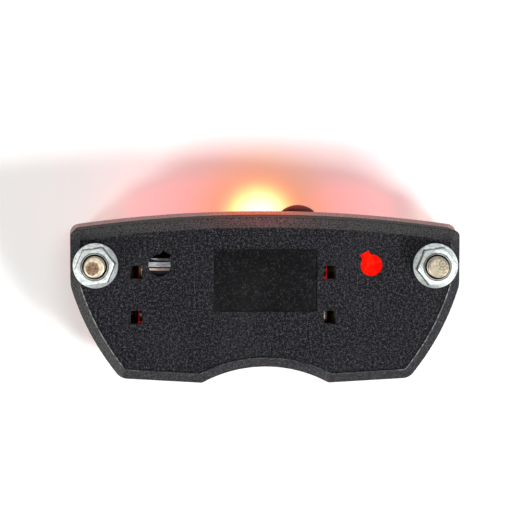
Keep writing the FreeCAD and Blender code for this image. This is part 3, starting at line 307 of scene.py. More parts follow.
class Finish(Wiring):
    """A material being wired round a Principled shader"""

    def __init__(self, name):
        self.material = bpy.data.materials.new(name)
        self.material.use_nodes = True
        super().__init__(self.material.node_tree)
        self.tree.nodes.clear()
        self.shader = self.add("ShaderNodeBsdfPrincipled")
        self.output = self.add("ShaderNodeOutputMaterial", {"Surface": self.shader.outputs[0]})
        coordinates = self.add("ShaderNodeTexCoord").outputs
        self.place, self.normal = coordinates["Object"], coordinates["Normal"]

    def set(self, values):
        for socket, value in values.items():
            self.feed(self.shader.inputs[socket], value)

    def effect(self, title, place=None, **values):
        """Outputs of a shared effect."""
        made = self.add("ShaderNodeGroup", node_tree=EFFECTS[title]())
        self.feed(made.inputs["Vector"], self.place if place is None else place)
        for label, value in values.items():
            self.feed(made.inputs[socket_title(label)], value)
        return made.outputs

    def overlay(self, factor, shader):
        """Mixes another shader over what the output shows."""
        surface = self.output.inputs["Surface"]
        both = self.add("ShaderNodeMixShader", {0: factor, 1: surface.links[0].from_socket, 2: shader.outputs[0]})
        self.feed(surface, both.outputs[0])

    def pass_shadow_rays(self, colour):
        """Lets coloured light through the part for shadow rays only."""
        clear = self.add("ShaderNodeBsdfTransparent", {"Color": colour})
        self.overlay(self.add("ShaderNodeLightPath").outputs["Is Shadow Ray"], clear)


# Effects that several finishes share


EFFECTS = {}


def socket_title(label):
    return label.replace("_", " ").title()


def effect(title, **defaults):
    """Makes a wiring function into a node group with named sockets, built when first asked for."""
    def keep(wire):
        def fetch():
            tree = bpy.data.node_groups.get(title)
            if tree is None:
                tree = bpy.data.node_groups.new(title, "ShaderNodeTree")
                tree.interface.new_socket("Vector", in_out="INPUT", socket_type="NodeSocketVector")
                for label, default in defaults.items():
                    socket = tree.interface.new_socket(socket_title(label), in_out="INPUT",
                                                       socket_type="NodeSocketFloat")
                    socket.default_value = default
                w = Wiring(tree)
                results = wire(w, w.add("NodeGroupInput").outputs)
                for label in results:
                    tree.interface.new_socket(label, in_out="OUTPUT", socket_type="NodeSocketFloat")
                w.add("NodeGroupOutput", results)
            return tree
        EFFECTS[title] = fetch
        return fetch
    return keep


@effect("Spark Grain", grain_scale=4000.0, patch_scale=160.0)
def spark_grain(w, given):
    """The fine grain that a spark-cut mould leaves, with painted glints: light points that finishes mix into their
    colour where facets would catch the light.
    """
    place, scale = given["Vector"], given["Grain Scale"]
    fine = w.noise(place, scale, 3.0, 0.6)
    coarse = w.noise(place, w.times(scale, 0.42), 1.0)
    return {
        "Height": w.plus(fine, w.times(coarse, 0.5)),
        # Glints: a mask of painted glints, where a finish lightens its colour as if the grain caught the light
        "Glints": w.ramp(w.plus(w.times(fine, 0.7), w.times(coarse, 0.3)), 0.49, 0.68),
        "Patches": w.ramp(w.noise(place, given["Patch Scale"], 4.0), 0.35, 0.68),
        "Fine": fine,
    }


@effect("Handling Scratches", scale=300.0, amount=0.5)
def handling_scratches(w, given):
    """Thin broken lines in several directions."""
    place, scale = given["Vector"], given["Scale"]
    lines = []
    for turn, stretch in ((0.4, (1.0, 14.0, 14.0)), (1.9, (14.0, 1.0, 14.0)), (2.7, (1.0, 18.0, 1.0))):
        drawn = w.noise(w.stretch(w.turned(place, turn, "Y"), stretch), scale, 2.0, 0.7)
        lines.append(w.fade(w.size(w.minus(drawn, 0.5)), 0.0, 0.006))
    broken = w.ramp(w.noise(place, w.times(scale, 0.7)), 0.52, 0.66)
    return {"Mask": w.times(w.most(*lines), broken, given["Amount"])}


@effect("Settled Dust", speck_scale=900.0, amount=0.3)
def settled_dust(w, given):
    """Specks and a thin haze of dust."""
    place, scale = given["Vector"], given["Speck Scale"]
    cells = w.add("ShaderNodeTexVoronoi", {"Vector": place, "Scale": scale}).outputs["Distance"]
    haze = w.ramp(w.noise(place, w.times(scale, 0.15), 3.0), 0.45, 0.75, 0.0, 0.25)
    return {"Mask": w.times(w.most(w.fade(cells, 0.05, 0.10), haze), given["Amount"])}


@effect("Turned Marks", ring_scale=3000.0, spokes=9.0)
def turned_marks(w, given):
    """Rings and spokes that a cutter leaves round a part's own upright axis."""
    x, y, _ = w.axes(given["Vector"])
    reach = w.reach(x, y)
    wobble = w.times(w.noise(given["Vector"], 700.0), 1.6)
    rings = w.sum("SINE", w.plus(w.times(reach, given["Ring Scale"]), wobble))
    turn = w.sum("ARCTAN2", y, x)
    spokes = w.sum("SINE", w.plus(w.times(turn, given["Spokes"]), w.times(wobble, 2.0)))
    return {
        "Height": w.plus(rings, w.times(spokes, 0.5)),
        "Shade": w.ramp(w.plus(rings, spokes), -2.0, 2.0),
        "Reach": reach,
    }


@effect("Zinc Bloom", patch_scale=420.0)
def zinc_bloom(w, given):
    """Uneven patches of a bright zinc coat."""
    patch = w.noise(given["Vector"], given["Patch Scale"], 4.0, 0.6)
    grain = w.noise(given["Vector"], w.times(given["Patch Scale"], 9.0), 2.0)
    return {
        "Stain": w.ramp(w.plus(patch, w.times(grain, 0.15)), 0.50, 0.78),
        "Height": w.plus(w.times(patch, 0.6), w.times(grain, 0.4)),
    }


@effect("Corner Grime", flats=8 * MM, turn=0.0, foot_height=2.5 * MM, bore=2.88 * MM, groove=3.2 * MM)
def painted_corner_shade(w, given):
    """Painted shade at the foot of a hexagon and in the ring round its bore."""
    x, y, z = w.axes(given["Vector"])
    reach = w.reach(x, y)
    turn = w.minus(w.sum("ARCTAN2", y, x), given["Turn"])
    step = w.minus(w.sum("MODULO", w.plus(turn, 4 * math.pi), math.pi / 3), math.pi / 6)
    side = w.over(w.times(reach, w.sum("COSINE", step)), w.times(given["Flats"], 0.5))
    uneven = w.times(w.minus(w.noise(given["Vector"], 1300.0, 3.0), 0.5), 0.10)
    line = w.within(w.plus(side, uneven), 0.975, 1.065, 0.016)
    hole = w.fade(w.minus(reach, given["Bore"]), -0.04 * MM, 0.04 * MM)
    groove = w.ramp(w.size(w.minus(reach, given["Groove"])), 0.05 * MM, 0.16 * MM, 0.9, 0.0)
    return {
        "Corner": w.times(line, w.fade(w.minus(z, given["Foot Height"]), 0.0, 0.2 * MM)),
        "Bore Ring": w.most(hole, groove),
    }


# Finishes


def black_moulding(w, colours):
    """Grained black plastic with painted glints, smoother in the bare recess, paler on the sloped rim, with painted
    light along the top and the lower left flank and a painted highlight along the rim's crest.
    """
    x, y, z = w.axes(w.place)
    outward = w.axes(w.normal)
    recess = w.times(w.within(x, -12.2 * MM, 12.2 * MM, 0.05 * MM), w.within(z, -10.9 * MM, 3.9 * MM, 0.05 * MM),
                     w.within(y, -0.2 * MM, 0.6 * MM, 0.02 * MM))
    slope = w.times(w.fade(w.size(outward[1]), 0.80, 0.93), w.within(y, -0.6 * MM, 1.8 * MM, 0.2 * MM))
    wall = w.ramp(y, 1.7 * MM, 2.0 * MM)
    # Painted light: the top slope and the top wall made paler as if lit from above
    top = w.ramp(z, 5.5 * MM, 8.0 * MM)
    # Painted light on the lower left flank, paler where it faces the lamp at the lower left
    painted_light_left_flank = w.times(w.ramp(outward[0], -0.40, -0.25, 0.55, 0.0), w.fade(z, -4 * MM, -1 * MM))
    from_stud = w.reach(w.minus(w.size(x), STUDS["right"]), z)
    # Painted highlight: a pale line along the rim's crest, strongest towards the outer lower sides and faint at the
    # top
    crest = w.times(w.fade(y, -0.36 * MM, -0.31 * MM), w.ramp(from_stud, 5.5 * MM, 5.7 * MM),
                    w.ramp(z, 0.0, 4 * MM, 1.0, 0.1), w.ramp(w.size(x), 30 * MM, 34 * MM, 0.15, 1.0),
                    w.ramp(w.noise(w.place, 1500.0, 2.0), 0.40, 0.60, 0.15, 1.0))
    grain = w.effect("Spark Grain", grain_scale=3900.0, patch_scale=90.0)
    scratch = w.effect("Handling Scratches", scale=120.0, amount=0.20)["Mask"]
    dust = w.effect("Settled Dust", speck_scale=520.0, amount=0.10)["Mask"]
    # The rim's grey, lifted by painted light along the top and the lower left flank
    pale = w.mix(w.most(top, painted_light_left_flank), colours.slope_low, colours.slope_high)
    grey = w.mix(w.ramp(grain["Fine"], 0.38, 0.60), scaled(colours.slope_low, 0.62), pale)
    base = w.mix(recess, colours.moulding, colours.recess)
    # The sloped rim and the top wall take that grey; on the top wall it is painted light
    base = w.mix(w.most(slope, w.times(wall, top)), base, grey)
    # The next lines mix painted glints, light points from the grain's Glints mask, into the base, with fewer in the
    # recess
    points = w.sum("POWER", grain["Glints"], w.span(recess, 1.0, 2.0))
    warmth = w.ramp(w.noise(w.place, 1700.0, 1.0), 0.42, 0.58)
    spark = w.mix(warmth, colours.moulding_grain, colours.moulding_warm)
    base = w.mix(w.times(points, w.span(recess, 1.0, 0.5)), base, spark)
    base = w.mix(crest, base, colours.crest)
    satin = w.ramp(w.plus(grain["Patches"], recess), 0.0, 2.0, 0.42, 0.50)
    w.set({
        "Base Color": w.mix(w.most(w.times(scratch, 0.5), dust), base, tint(104, 104, 106)),
        "Roughness": w.most(satin, w.span(wall, 0.0, 0.95)),
        "Normal": w.bump(w.times(grain["Height"], w.span(recess, 1.0, 0.3)), 0.05 * MM, 0.6),
        "Specular IOR Level": 0.09,
    })


def red_lens(w, colours):
    """Clear red plastic with faint flow marks and light wear, frosted on the land behind its rim, where a painted
    glow stands in for the diode's light.
    """
    scratch = w.effect("Handling Scratches", scale=160.0, amount=0.6)["Mask"]
    dust = w.effect("Settled Dust", speck_scale=700.0, amount=0.25)["Mask"]
    flow = w.noise(w.stretch(w.place, (1.0, 1.0, 2.2)), 60.0, 2.0)
    w.set({
        "Base Color": w.mix(flow, colours.lens, scaled(colours.lens, 0.8)),
        "Roughness": w.span(w.most(scratch, dust), 0.07, 0.40),
        "Normal": w.bump(flow, 0.06 * MM, 0.5),
        "Transmission Weight": 1.0, "IOR": CLEAR_PLASTIC,
    })
    w.pass_shadow_rays(colours.lens_pass)
    x, y, _ = w.axes(w.place)
    grain = w.noise(w.place, 2600.0, 2.0)
    # Where the painted glow turns oranger, close to the diode
    painted_glow_near_diode = w.fade(w.size(w.plus(x, 1 * MM)), 3 * MM, 15 * MM)
    land = w.times(w.fade(y, 16.25 * MM, 16.30 * MM), w.ramp(y, 16.0 * MM, 16.05 * MM))
    # The frosted land glows with painted light (emission)
    w.overlay(land, w.add("ShaderNodeBsdfPrincipled", {
        "Base Color": w.mix(w.ramp(grain, 0.35, 0.65), tint(60, 40, 38), tint(100, 80, 78)),
        "Emission Color": w.mix(painted_glow_near_diode, colours.rim, colours.rim_glow),
        "Emission Strength": w.ramp(grain, 0.30, 0.70, 0.8, 1.1),
        "Roughness": 0.6,
    }))


def lit_prisms(w, colours, strength):
    """Clear red plastic of the corner prisms, with a painted red glow on the side away from the road that stands in
    for light from the diode.
    """
    flow = w.noise(w.place, 900.0, 2.0)
    # The next lines shape the painted glow: emission on the prisms' back faces, patchy and warmer in places
    blotch = w.ramp(w.noise(w.place, 620.0, 2.0), 0.42, 0.60)
    inside = w.add("ShaderNodeNewGeometry").outputs["Backfacing"]
    above_sheet = w.ramp(w.axes(w.place)[2], 0.005 * MM, 0.02 * MM)
    shine = w.ramp(w.noise(w.place, 1500.0, 2.0), 0.35, 0.65, 0.80, 0.95)
    w.set({
        "Base Color": w.mix(flow, colours.prisms, scaled(colours.prisms, 0.6)),
        "Roughness": w.ramp(flow, 0.3, 0.7, 0.05, 0.16),
        "Normal": w.bump(flow, 0.02 * MM, 0.3),
        "Emission Color": w.mix(blotch, colours.prism_glow, colours.prism_warm),
        "Emission Strength": w.times(shine, strength, w.span(inside, 1.0, 0.06), above_sheet),
        "Specular IOR Level": 0.2, "Transmission Weight": 0.75, "IOR": CLEAR_PLASTIC,
    })
    w.pass_shadow_rays(colours.lens_pass)


def zinc(w, colours):
    """Bright zinc with stains and cutter marks round the bore, and painted shade at the hexagon's foot and in the
    bore ring.
    """
    bloom = w.effect("Zinc Bloom", patch_scale=1000.0)
    marks = w.effect("Turned Marks", ring_scale=24000.0, spokes=5.0)
    scratch = w.effect("Handling Scratches", scale=420.0, amount=0.9)["Mask"]
    # Painted shade: a darker line at the hexagon's foot and a dark ring in and round the bore
    grime = w.effect("Corner Grime", turn=sizes().hexagon_turn)
    shade = w.mix(w.times(bloom["Stain"], 0.75), colours.zinc, colours.zinc_stain)
    shade = w.mix(scratch, shade, tint(92, 98, 104))
    shade = w.mix(w.times(grime["Corner"], 0.8), shade, tint(70, 76, 78))
    w.set({
        "Base Color": w.mix(grime["Bore Ring"], shade, colours.grime),
        "Roughness": w.span(bloom["Stain"], 0.46, 0.62),
        "Normal": w.bump(w.plus(bloom["Height"], w.times(marks["Height"], 0.08)), 0.05 * MM, 0.8),
        "Metallic": 1.0,
    })


def bolt_end(w, colours, middle, core_reach, core, core_share, ring_share):
    """Coated steel whose sheared end has a darker middle with spokes in a pale ring, and painted shade on the
    thread beside the nut.
    """
    core, ring = scaled(getattr(colours, core), core_share), scaled(colours.bolt_ring, ring_share)
    moved = w.add("ShaderNodeVectorMath", {0: w.place, 1: middle}, operation="SUBTRACT").outputs[0]
    marks = w.effect("Turned Marks", moved, ring_scale=9000.0, spokes=9.0)
    bloom = w.effect("Zinc Bloom", patch_scale=900.0)
    x, y, height = w.axes(w.place)
    wavy = w.plus(marks["Reach"], w.times(w.minus(bloom["Height"], 0.5), 2.2 * MM))
    inner = w.fade(wavy, core_reach - 0.12 * MM, core_reach + 0.12 * MM)
    streak = w.times(w.ramp(marks["Shade"], 0.35, 0.65), w.ramp(wavy, 0.2 * MM, 2.0 * MM, 0.85, 0.25))
    face = w.mix(streak, w.mix(inner, ring, core), scaled(core, 0.30))
    face = w.mix(w.times(bloom["Stain"], 0.45), face, scaled(ring, 0.55))
    side = w.mix(w.times(bloom["Stain"], 0.6), colours.bolt, tint(92, 88, 82))
    shade = w.mix(w.ramp(height, 7.28 * MM, 7.34 * MM), side, face)
    # Painted shade: the thread beside the nut darkened as if in shadow
    painted_thread_shade = w.times(w.ramp(height, 6.6 * MM, 7.0 * MM), w.ramp(w.reach(x, y), 2.30 * MM, 2.40 * MM))
    w.set({
        "Base Color": w.mix(painted_thread_shade, shade, colours.grime),
        "Roughness": w.span(bloom["Stain"], 0.42, 0.60),
        "Normal": w.bump(marks["Height"], 0.012 * MM, 0.8),
        "Metallic": 1.0,
    })


def rubber(w, colours, key, grain_scale, lowest, highest):
    """Soft rubber."""
    grain = w.effect("Spark Grain", grain_scale=grain_scale, patch_scale=300.0)
    dust = w.effect("Settled Dust", speck_scale=1500.0, amount=0.35)["Mask"]
    w.set({
        "Base Color": w.mix(dust, getattr(colours, key), tint(128, 118, 112)),
        "Roughness": w.span(grain["Patches"], lowest, highest),
        "Normal": w.bump(grain["Height"], 0.02 * MM, 0.6),
        "Specular IOR Level": 0.15,
    })


def button_rubber(w, colours):
    """Dark red rubber, with painted light making the crown paler."""
    rubber(w, colours, "button", 5200.0, 0.55, 0.70)
    # Painted light: the top of the dome paler than its lower part
    crown = w.ramp(w.axes(w.place)[2], 12.45 * MM, 13.3 * MM)
    before = w.shader.inputs["Base Color"].links[0].from_socket
    w.set({"Base Color": w.mix(crown, before, colours.button_crown)})


CELL_BANDS = (
    (0.0, "black"), (0.18, "silver"), (0.24, "black"), (0.504, "cream"), (0.511, "copper"), (0.515, "cream"),
    (0.523, "black"), (0.533, "silver"), (0.539, "grey"), (0.563, "silver"), (0.570, "black"),
    (0.582, "silver"), (0.599, "black"),
)


def cell_jacket(w, colours):
    """A printed sleeve in plain lengthwise bands, with bare metal at both ends."""
    x, y, z = w.axes(w.place)
    upper = w.ramp(z, -7.0 * MM, -6.8 * MM)
    middle = w.span(upper, -12.2 * MM, -1.6 * MM)
    turn = w.sum("ARCTAN2", w.minus(z, middle), w.minus(7.55 * MM, y))
    wave = w.times(w.minus(w.noise(w.place, 120.0, 1.0), 0.5), 0.06)
    share = w.ramp(w.plus(turn, wave), -math.pi, math.pi)
    bands = w.add("ShaderNodeValToRGB", {0: share})
    bands.color_ramp.interpolation = "CONSTANT"
    elements = bands.color_ramp.elements
    for index, (stop, band) in enumerate(CELL_BANDS):
        element = elements[index] if index < 2 else elements.new(stop)
        element.position = stop
        element.color = (*getattr(colours, "cell_" + band), 1.0)
    bright = w.ramp(w.add("ShaderNodeRGBToBW", {0: bands.outputs[0]}).outputs[0], 0.02, 0.30)
    gap_edge = w.ramp(x, -27.6 * MM, -24.6 * MM, 0.600, 0.578)
    gap = w.times(w.ramp(share, 0.5695, 0.5700), w.fade(w.minus(share, gap_edge), 0.0, 0.0005))
    # The silver band turns darker towards the right side of the hole
    darker_right = w.times(w.ramp(share, 0.5810, 0.5815), w.ramp(x, -26.4 * MM, -25.2 * MM, 0.0, 0.75))
    scratch = w.effect("Handling Scratches", scale=300.0, amount=0.8)["Mask"]
    streaks = w.ramp(w.noise(w.stretch(w.place, (1.0, 6.0, 6.0)), 700.0, 3.0), 0.40, 0.62)
    coat = w.mix(w.most(gap, darker_right), bands.outputs[0], colours.cell_black)
    coat = w.mix(w.times(streaks, bright, 0.55), coat, tint(96, 98, 102))
    coat = w.mix(w.times(scratch, bright, 0.5), coat, tint(60, 60, 62))
    sleeve = w.times(w.ramp(x, -29.3 * MM, -29.25 * MM), w.fade(x, 12.3 * MM, 12.35 * MM))
    w.set({
        "Base Color": w.mix(sleeve, colours.contact, coat),
        "Metallic": w.minus(1.0, sleeve),
        "Roughness": w.span(scratch, 0.34, 0.5),
    })


def metal(w, colours, key, stain, patch_scale, lowest, highest):
    """Plain plated metal with faint patches and scratches."""
    bloom = w.effect("Zinc Bloom", patch_scale=patch_scale)
    scratch = w.effect("Handling Scratches", scale=700.0, amount=0.7)["Mask"]
    shade = w.mix(w.times(bloom["Stain"], 0.6), getattr(colours, key), stain)
    w.set({
        "Base Color": w.mix(w.times(scratch, 0.5), shade, stain),
        "Roughness": w.span(bloom["Stain"], lowest, highest),
        "Normal": w.bump(bloom["Height"], 0.02 * MM, 0.5),
        "Metallic": 1.0,
    })


def board_green(w, colours):
    """Green solder mask over faint copper tracks, with a glass-cloth edge."""
    x, y, z = w.axes(w.place)
    tracks = []
    for turn, row in ((0.0, 1.9 * MM), (math.pi / 2, 2.7 * MM)):
        across = w.over(w.axes(w.turned(w.place, turn, "Z"))[1], row)
        step = w.sum("ROUND", across)
        kept = w.add("ShaderNodeTexWhiteNoise", {"W": w.plus(step, 17.0 * turn)}, noise_dimensions="1D").outputs[0]
        tracks.append(w.times(w.fade(w.size(w.minus(across, step)), 0.10, 0.12), w.ramp(kept, 0.49, 0.51)))
    track = w.most(*tracks)
    face = w.most(w.ramp(z, 5.36 * MM, 5.39 * MM), w.fade(z, 4.41 * MM, 4.44 * MM))
    weave = w.sum("SINE", w.times(w.plus(x, y), 9000.0))
    edge = w.mix(w.ramp(weave, -1.0, 1.0), tint(150, 148, 96), tint(116, 118, 74))
    mask = w.mix(w.times(track, 0.8), colours.board, colours.board_track)
    w.set({
        "Base Color": w.mix(face, edge, mask),
        "Roughness": w.ramp(w.noise(w.place, 500.0), 0.3, 0.7, 0.26, 0.40),
        "Normal": w.bump(w.times(track, face), 0.035 * MM, 0.8),
    })


def diode_red(w, colours):
    """Clear red resin."""
    swirl = w.noise(w.place, 500.0, 2.0)
    w.set({
        "Base Color": w.mix(swirl, colours.diode, scaled(colours.diode, 0.75)),
        "Roughness": w.ramp(swirl, 0.3, 0.7, 0.04, 0.10),
        "Transmission Weight": 0.9, "IOR": 1.52,
    })
    w.pass_shadow_rays(colours.lens_pass)


def die_glow(w, colours):
    """The lit die in its cup."""
    speck = w.ramp(w.noise(w.place, 2600.0, 2.0), 0.3, 0.7, 0.55, 1.0)
    w.set({
        "Base Color": w.mix(speck, tint(120, 40, 30), tint(220, 190, 160)),
        "Emission Color": w.mix(speck, tint(255, 70, 30), colours.die_glow),
        "Emission Strength": 4.0,
    })


def small_plastic(w, colours, key, grain_scale, low, high):
    """Fine-grained plastic or resin of a small part."""
    colour = getattr(colours, key)
    grain = w.effect("Spark Grain", grain_scale=grain_scale, patch_scale=700.0)
    dust = w.effect("Settled Dust", speck_scale=1800.0, amount=0.2)["Mask"]
    # Painted glints: the grain's Glints lighten the colour in points
    base = w.mix(w.times(grain["Glints"], 0.4), colour, scaled(colour, 1.6, 0.02))
    w.set({
        "Base Color": w.mix(dust, base, tint(150, 148, 144)),
        "Roughness": w.span(grain["Patches"], low, high),
        "Normal": w.bump(grain["Height"], 0.012 * MM, 0.6),
    })


def ended_part(w, colours, key, axis, spans):
    """A chip part with tinned ends at spans of one axis."""
    along = w.axes(w.place)[axis]
    tinned = w.most(*[w.within(along, low * MM, high * MM, 0.01 * MM) for low, high in spans])
    colour = getattr(colours, key)
    grain = w.effect("Spark Grain", grain_scale=7000.0, patch_scale=900.0)
    # Painted glints: the grain's Glints lighten the body's colour in points
    body = w.mix(grain["Glints"], colour, scaled(colour, 1.3, 0.01))
    w.set({
        "Base Color": w.mix(tinned, body, colours.pad),
        "Metallic": tinned,
        "Roughness": w.span(grain["Patches"], 0.32, 0.50),
        "Normal": w.bump(grain["Height"], 0.01 * MM, 0.5),
    })


FINISHES = {
    "black_moulding": (black_moulding,),
    "red_lens": (red_lens,),
    "red_prisms": (lit_prisms, 1.0),
    # The left reflector's painted glow is weaker
    "red_prisms_dim": (lit_prisms, 0.18),
    "zinc": (zinc,),
    "bolt_steel": (bolt_end, (-0.42 * MM, -0.15 * MM, 0.0), 1.50 * MM, "bolt_core", 1.0, 1.0),
    "bolt_steel_pale": (bolt_end, (0.9 * MM, 0.9 * MM, 0.0), 1.10 * MM, "bolt_ring", 0.50, 0.60),
    "button_rubber": (button_rubber,),
    "seal_rubber": (rubber, "seal", 3000.0, 0.62, 0.80),
    "cell_jacket": (cell_jacket,),
    "contact_metal": (metal, "contact", tint(120, 114, 104), 500.0, 0.20, 0.38),
    "lead_metal": (metal, "pad", tint(130, 130, 128), 1600.0, 0.26, 0.44),
    "screw_steel": (metal, "screw", tint(60, 60, 64), 900.0, 0.30, 0.48),
    "board_green": (board_green,),
    "diode_red": (diode_red,),
    "die_glow": (die_glow,),
    "spacer_black": (small_plastic, "spacer", 5000.0, 0.42, 0.56),
    "switch_black": (small_plastic, "switch", 5200.0, 0.36, 0.50),
    "plunger_white": (small_plastic, "plunger", 6000.0, 0.38, 0.52),
    "chip_black": (small_plastic, "chip", 8000.0, 0.50, 0.66),
    "inductor_grey": (small_plastic, "inductor", 4200.0, 0.55, 0.74),
    "capacitor_tan": (ended_part, "capacitor", 0, ((7.0, 8.0), (10.3, 11.3))),
    "resistor_dark": (ended_part, "resistor", 1, ((14.5, 15.1), (15.85, 16.5))),
}


def finish_named(slot):
    """The finish of a slot, built the first time that it is asked for."""
    title = slot.replace("_", " ").capitalize()
    made = bpy.data.materials.get(title)
    if made is None:
        wire, *values = FINISHES[slot]
        w = Finish(title)
        wire(w, bpy.context.scene.tail_light_colours, *values)
        made = w.material
    return made


# Shapes


def rounded(obj, width, angle=30):
    """Adds worn edges, from an angle in degrees, that shade smoothly into flat faces."""
    bevel = obj.modifiers.new("Worn edges", "BEVEL")
    bevel.width = width
    bevel.segments = 2
    bevel.limit_method = "ANGLE"
    bevel.angle_limit = math.radians(angle)
    bevel.use_clamp_overlap = True
    bevel.harden_normals = False
    shading = obj.modifiers.new("Even shading", "WEIGHTED_NORMAL")
    shading.keep_sharp = True
    shading.weight = 80


def dress(node, finish, width):
    """Gives a frame node its finish and worn edges."""
    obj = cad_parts[node]
    obj.data.materials.clear()
    obj.data.materials.append(finish_named(finish))
    obj.data.shade_smooth()
    weld = obj.modifiers.new("Joined corners", "WELD")
    weld.merge_threshold = 0.002 * MM
    flat = obj.modifiers.new("Whole faces", "DECIMATE")
    flat.decimate_type = "DISSOLVE"
    flat.angle_limit = math.radians(0.6)
    rounded(obj, width)


def set_in(name, mesh, place, finish, body, nodes):
    """Puts a new piece in the place of the nodes that it stands for."""
    obj = bpy.data.objects.new(name, mesh)
    bpy.context.scene.collection.objects.link(obj)
    obj.matrix_world = place
    mesh.materials.append(finish_named(finish))
    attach(obj, body)
    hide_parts(*nodes)
    return obj


def mesh_from(shape, name):
    """A mesh from a bmesh, which is freed."""
    mesh = bpy.data.meshes.new(name)
    shape.to_mesh(mesh)
    shape.free()
    return mesh


def mesh_of(name, points, faces, seam=1e-7):
    """A closed mesh with doubled points joined and faces turned outward."""
    loose = bpy.data.meshes.new(name + " loose")
    loose.from_pydata([tuple(p) for p in points], [], faces)
    shape = bmesh.new()
    shape.from_mesh(loose)
    bpy.data.meshes.remove(loose)
    bmesh.ops.remove_doubles(shape, verts=shape.verts, dist=seam)
    rims = [edge for edge in shape.edges if edge.is_boundary]
    if rims:
        bmesh.ops.holes_fill(shape, edges=rims, sides=0)
    bmesh.ops.recalc_face_normals(shape, faces=shape.faces)
    mesh = mesh_from(shape, name)
    mesh.shade_smooth()
    return mesh


def rows_mesh(name, rows, closed_loop=False):
    """A mesh through equal rows of points, each row a ring."""
    rows = np.asarray(rows, float)
    count, columns = rows.shape[:2]
    faces = []
    for row in range(count if closed_loop else count - 1):
        upper = (row + 1) % count
        for column in range(columns):
            beside = (column + 1) % columns
            faces.append((row * columns + column, row * columns + beside,
                          upper * columns + beside, upper * columns + column))
    return mesh_of(name, rows.reshape(-1, 3), faces)


def joined(name, *meshes):
    """One mesh from several shells that overlap or touch."""
    shape = bmesh.new()
    for mesh in meshes:
        shape.from_mesh(mesh)
    whole = mesh_from(shape, name)
    whole.shade_smooth()
    return whole


def polar(radius, turn, height):
    return radius * math.cos(turn), radius * math.sin(turn), height


def turned_mesh(name, profile, columns):
    """A mesh turned from (radius, height) pairs."""
    turns = np.arange(columns) * 2 * math.pi / columns
    return rows_mesh(name, [[polar(radius, turn, height) for turn in turns] for radius, height in profile])


def arc(middle, radius, start, end, steps):
    """Points of an arc in a profile, angles in degrees."""
    turns = np.radians(np.linspace(start, end, steps))
    return [(middle[0] + radius * math.cos(t), middle[1] + radius * math.sin(t)) for t in turns]


def threaded_mesh(name, low, high, outer, pitch, depth, limit, columns):
    """A right-hand thread, rows along its helix, closed to limit(height) at both ends."""
    crest, flank, root_drop = 1 / 16, 5 / 16, 1.06
    phases, drops = [0] + [crest + flank * third / 3 for third in range(4)], [0, 0, 1 / 3, 2 / 3, 1]
    phases += [0.5] + [1 - phase for phase in reversed(phases[1:])]
    drops += [root_drop] + drops[:0:-1]
    points, rows = [], 0
    for turn in range(math.floor(low / pitch) - 2, math.ceil(high / pitch) + 1):
        for phase, drop in zip(phases, drops):
            rows += 1
            for column in range(columns + 1):
                share = column / columns
                height = min(max((turn + phase + share) * pitch, low), high)
                points.append(polar(min(outer - drop * depth, limit(height)), 2 * math.pi * share, height))
    across = columns + 1
    corners = [row * across + column for row in range(rows - 1) for column in range(columns)]
    return mesh_of(name, points, [(c, c + 1, c + across + 1, c + across) for c in corners], 2e-6)


def hexagon_reach(turn, flats, start=0.0):
    """Distance from the middle to a hexagon's side, corners at start and each sixth of a turn."""
    step = math.pi / 3
    return flats / 2 / math.cos((turn - start) % step - step / 2)


# Operators


class TAILLIGHT_OT_housing(bpy.types.Operator):
    """Finish the black housing and its seal"""

    bl_idname = "tail_light.housing"
    bl_label = "Housing and Seal"

    def execute(self, context):
        dress("rear_housing", "black_moulding", sizes().edge_round)
        dress("cover_seal", "seal_rubber", sizes().small_edge_round)
        return {"FINISHED"}


class TAILLIGHT_OT_lens(bpy.types.Operator):
    """Finish the red lens"""

    bl_idname = "tail_light.lens"
    bl_label = "Lens"

    def execute(self, context):
        dress("lens_cover", "red_lens", sizes().edge_round)
        return {"FINISHED"}


class TAILLIGHT_OT_bolts(bpy.types.Operator):
    """Thread the two bolts"""

    bl_idname = "tail_light.bolts"
    bl_label = "Bolts"

    def execute(self, context):
        s = sizes()
        tip, seat, top = 7.7 * MM, -4.3 * MM, -8.0 * MM
        flats, thread_depth, neck = 8 * MM, 0.433 * MM, 2.06 * MM
        corner = flats / math.sqrt(3)
        head_profile = ((0.94, seat), (1.0, seat - 0.25 * MM), (1.0, top + 0.25 * MM),
                        (0.94, top), (0.5, top), (0.45, top + 0.15 * MM))
        turns = [column * math.pi / 24 for column in range(48)]

        def limit(height):
            return min(s.stud_radius, s.tip_radius + max(0.0, tip - height), neck + max(0.0, height - seat))

        for side, x in STUDS.items():
            thread = threaded_mesh("thread", seat, tip, s.stud_radius, s.thread_pitch, thread_depth, limit,
                                   s.thread_columns)
            head = rows_mesh("head", [[polar(min(hexagon_reach(turn, flats), corner * reach), turn, height)
                                       for turn in turns] for reach, height in head_profile])
            place = Matrix.Translation((x, BOSS_FACE, 0)) @ BACKWARD
            finish = "bolt_steel" if side == "left" else "bolt_steel_pale"
            bolt = set_in("threaded_bolt_" + side, joined("bolt_" + side, thread, head), place,
                          finish, "housing", ["bolt_" + side])
            rounded(bolt, 0.05 * MM, 40)
        return {"FINISHED"}


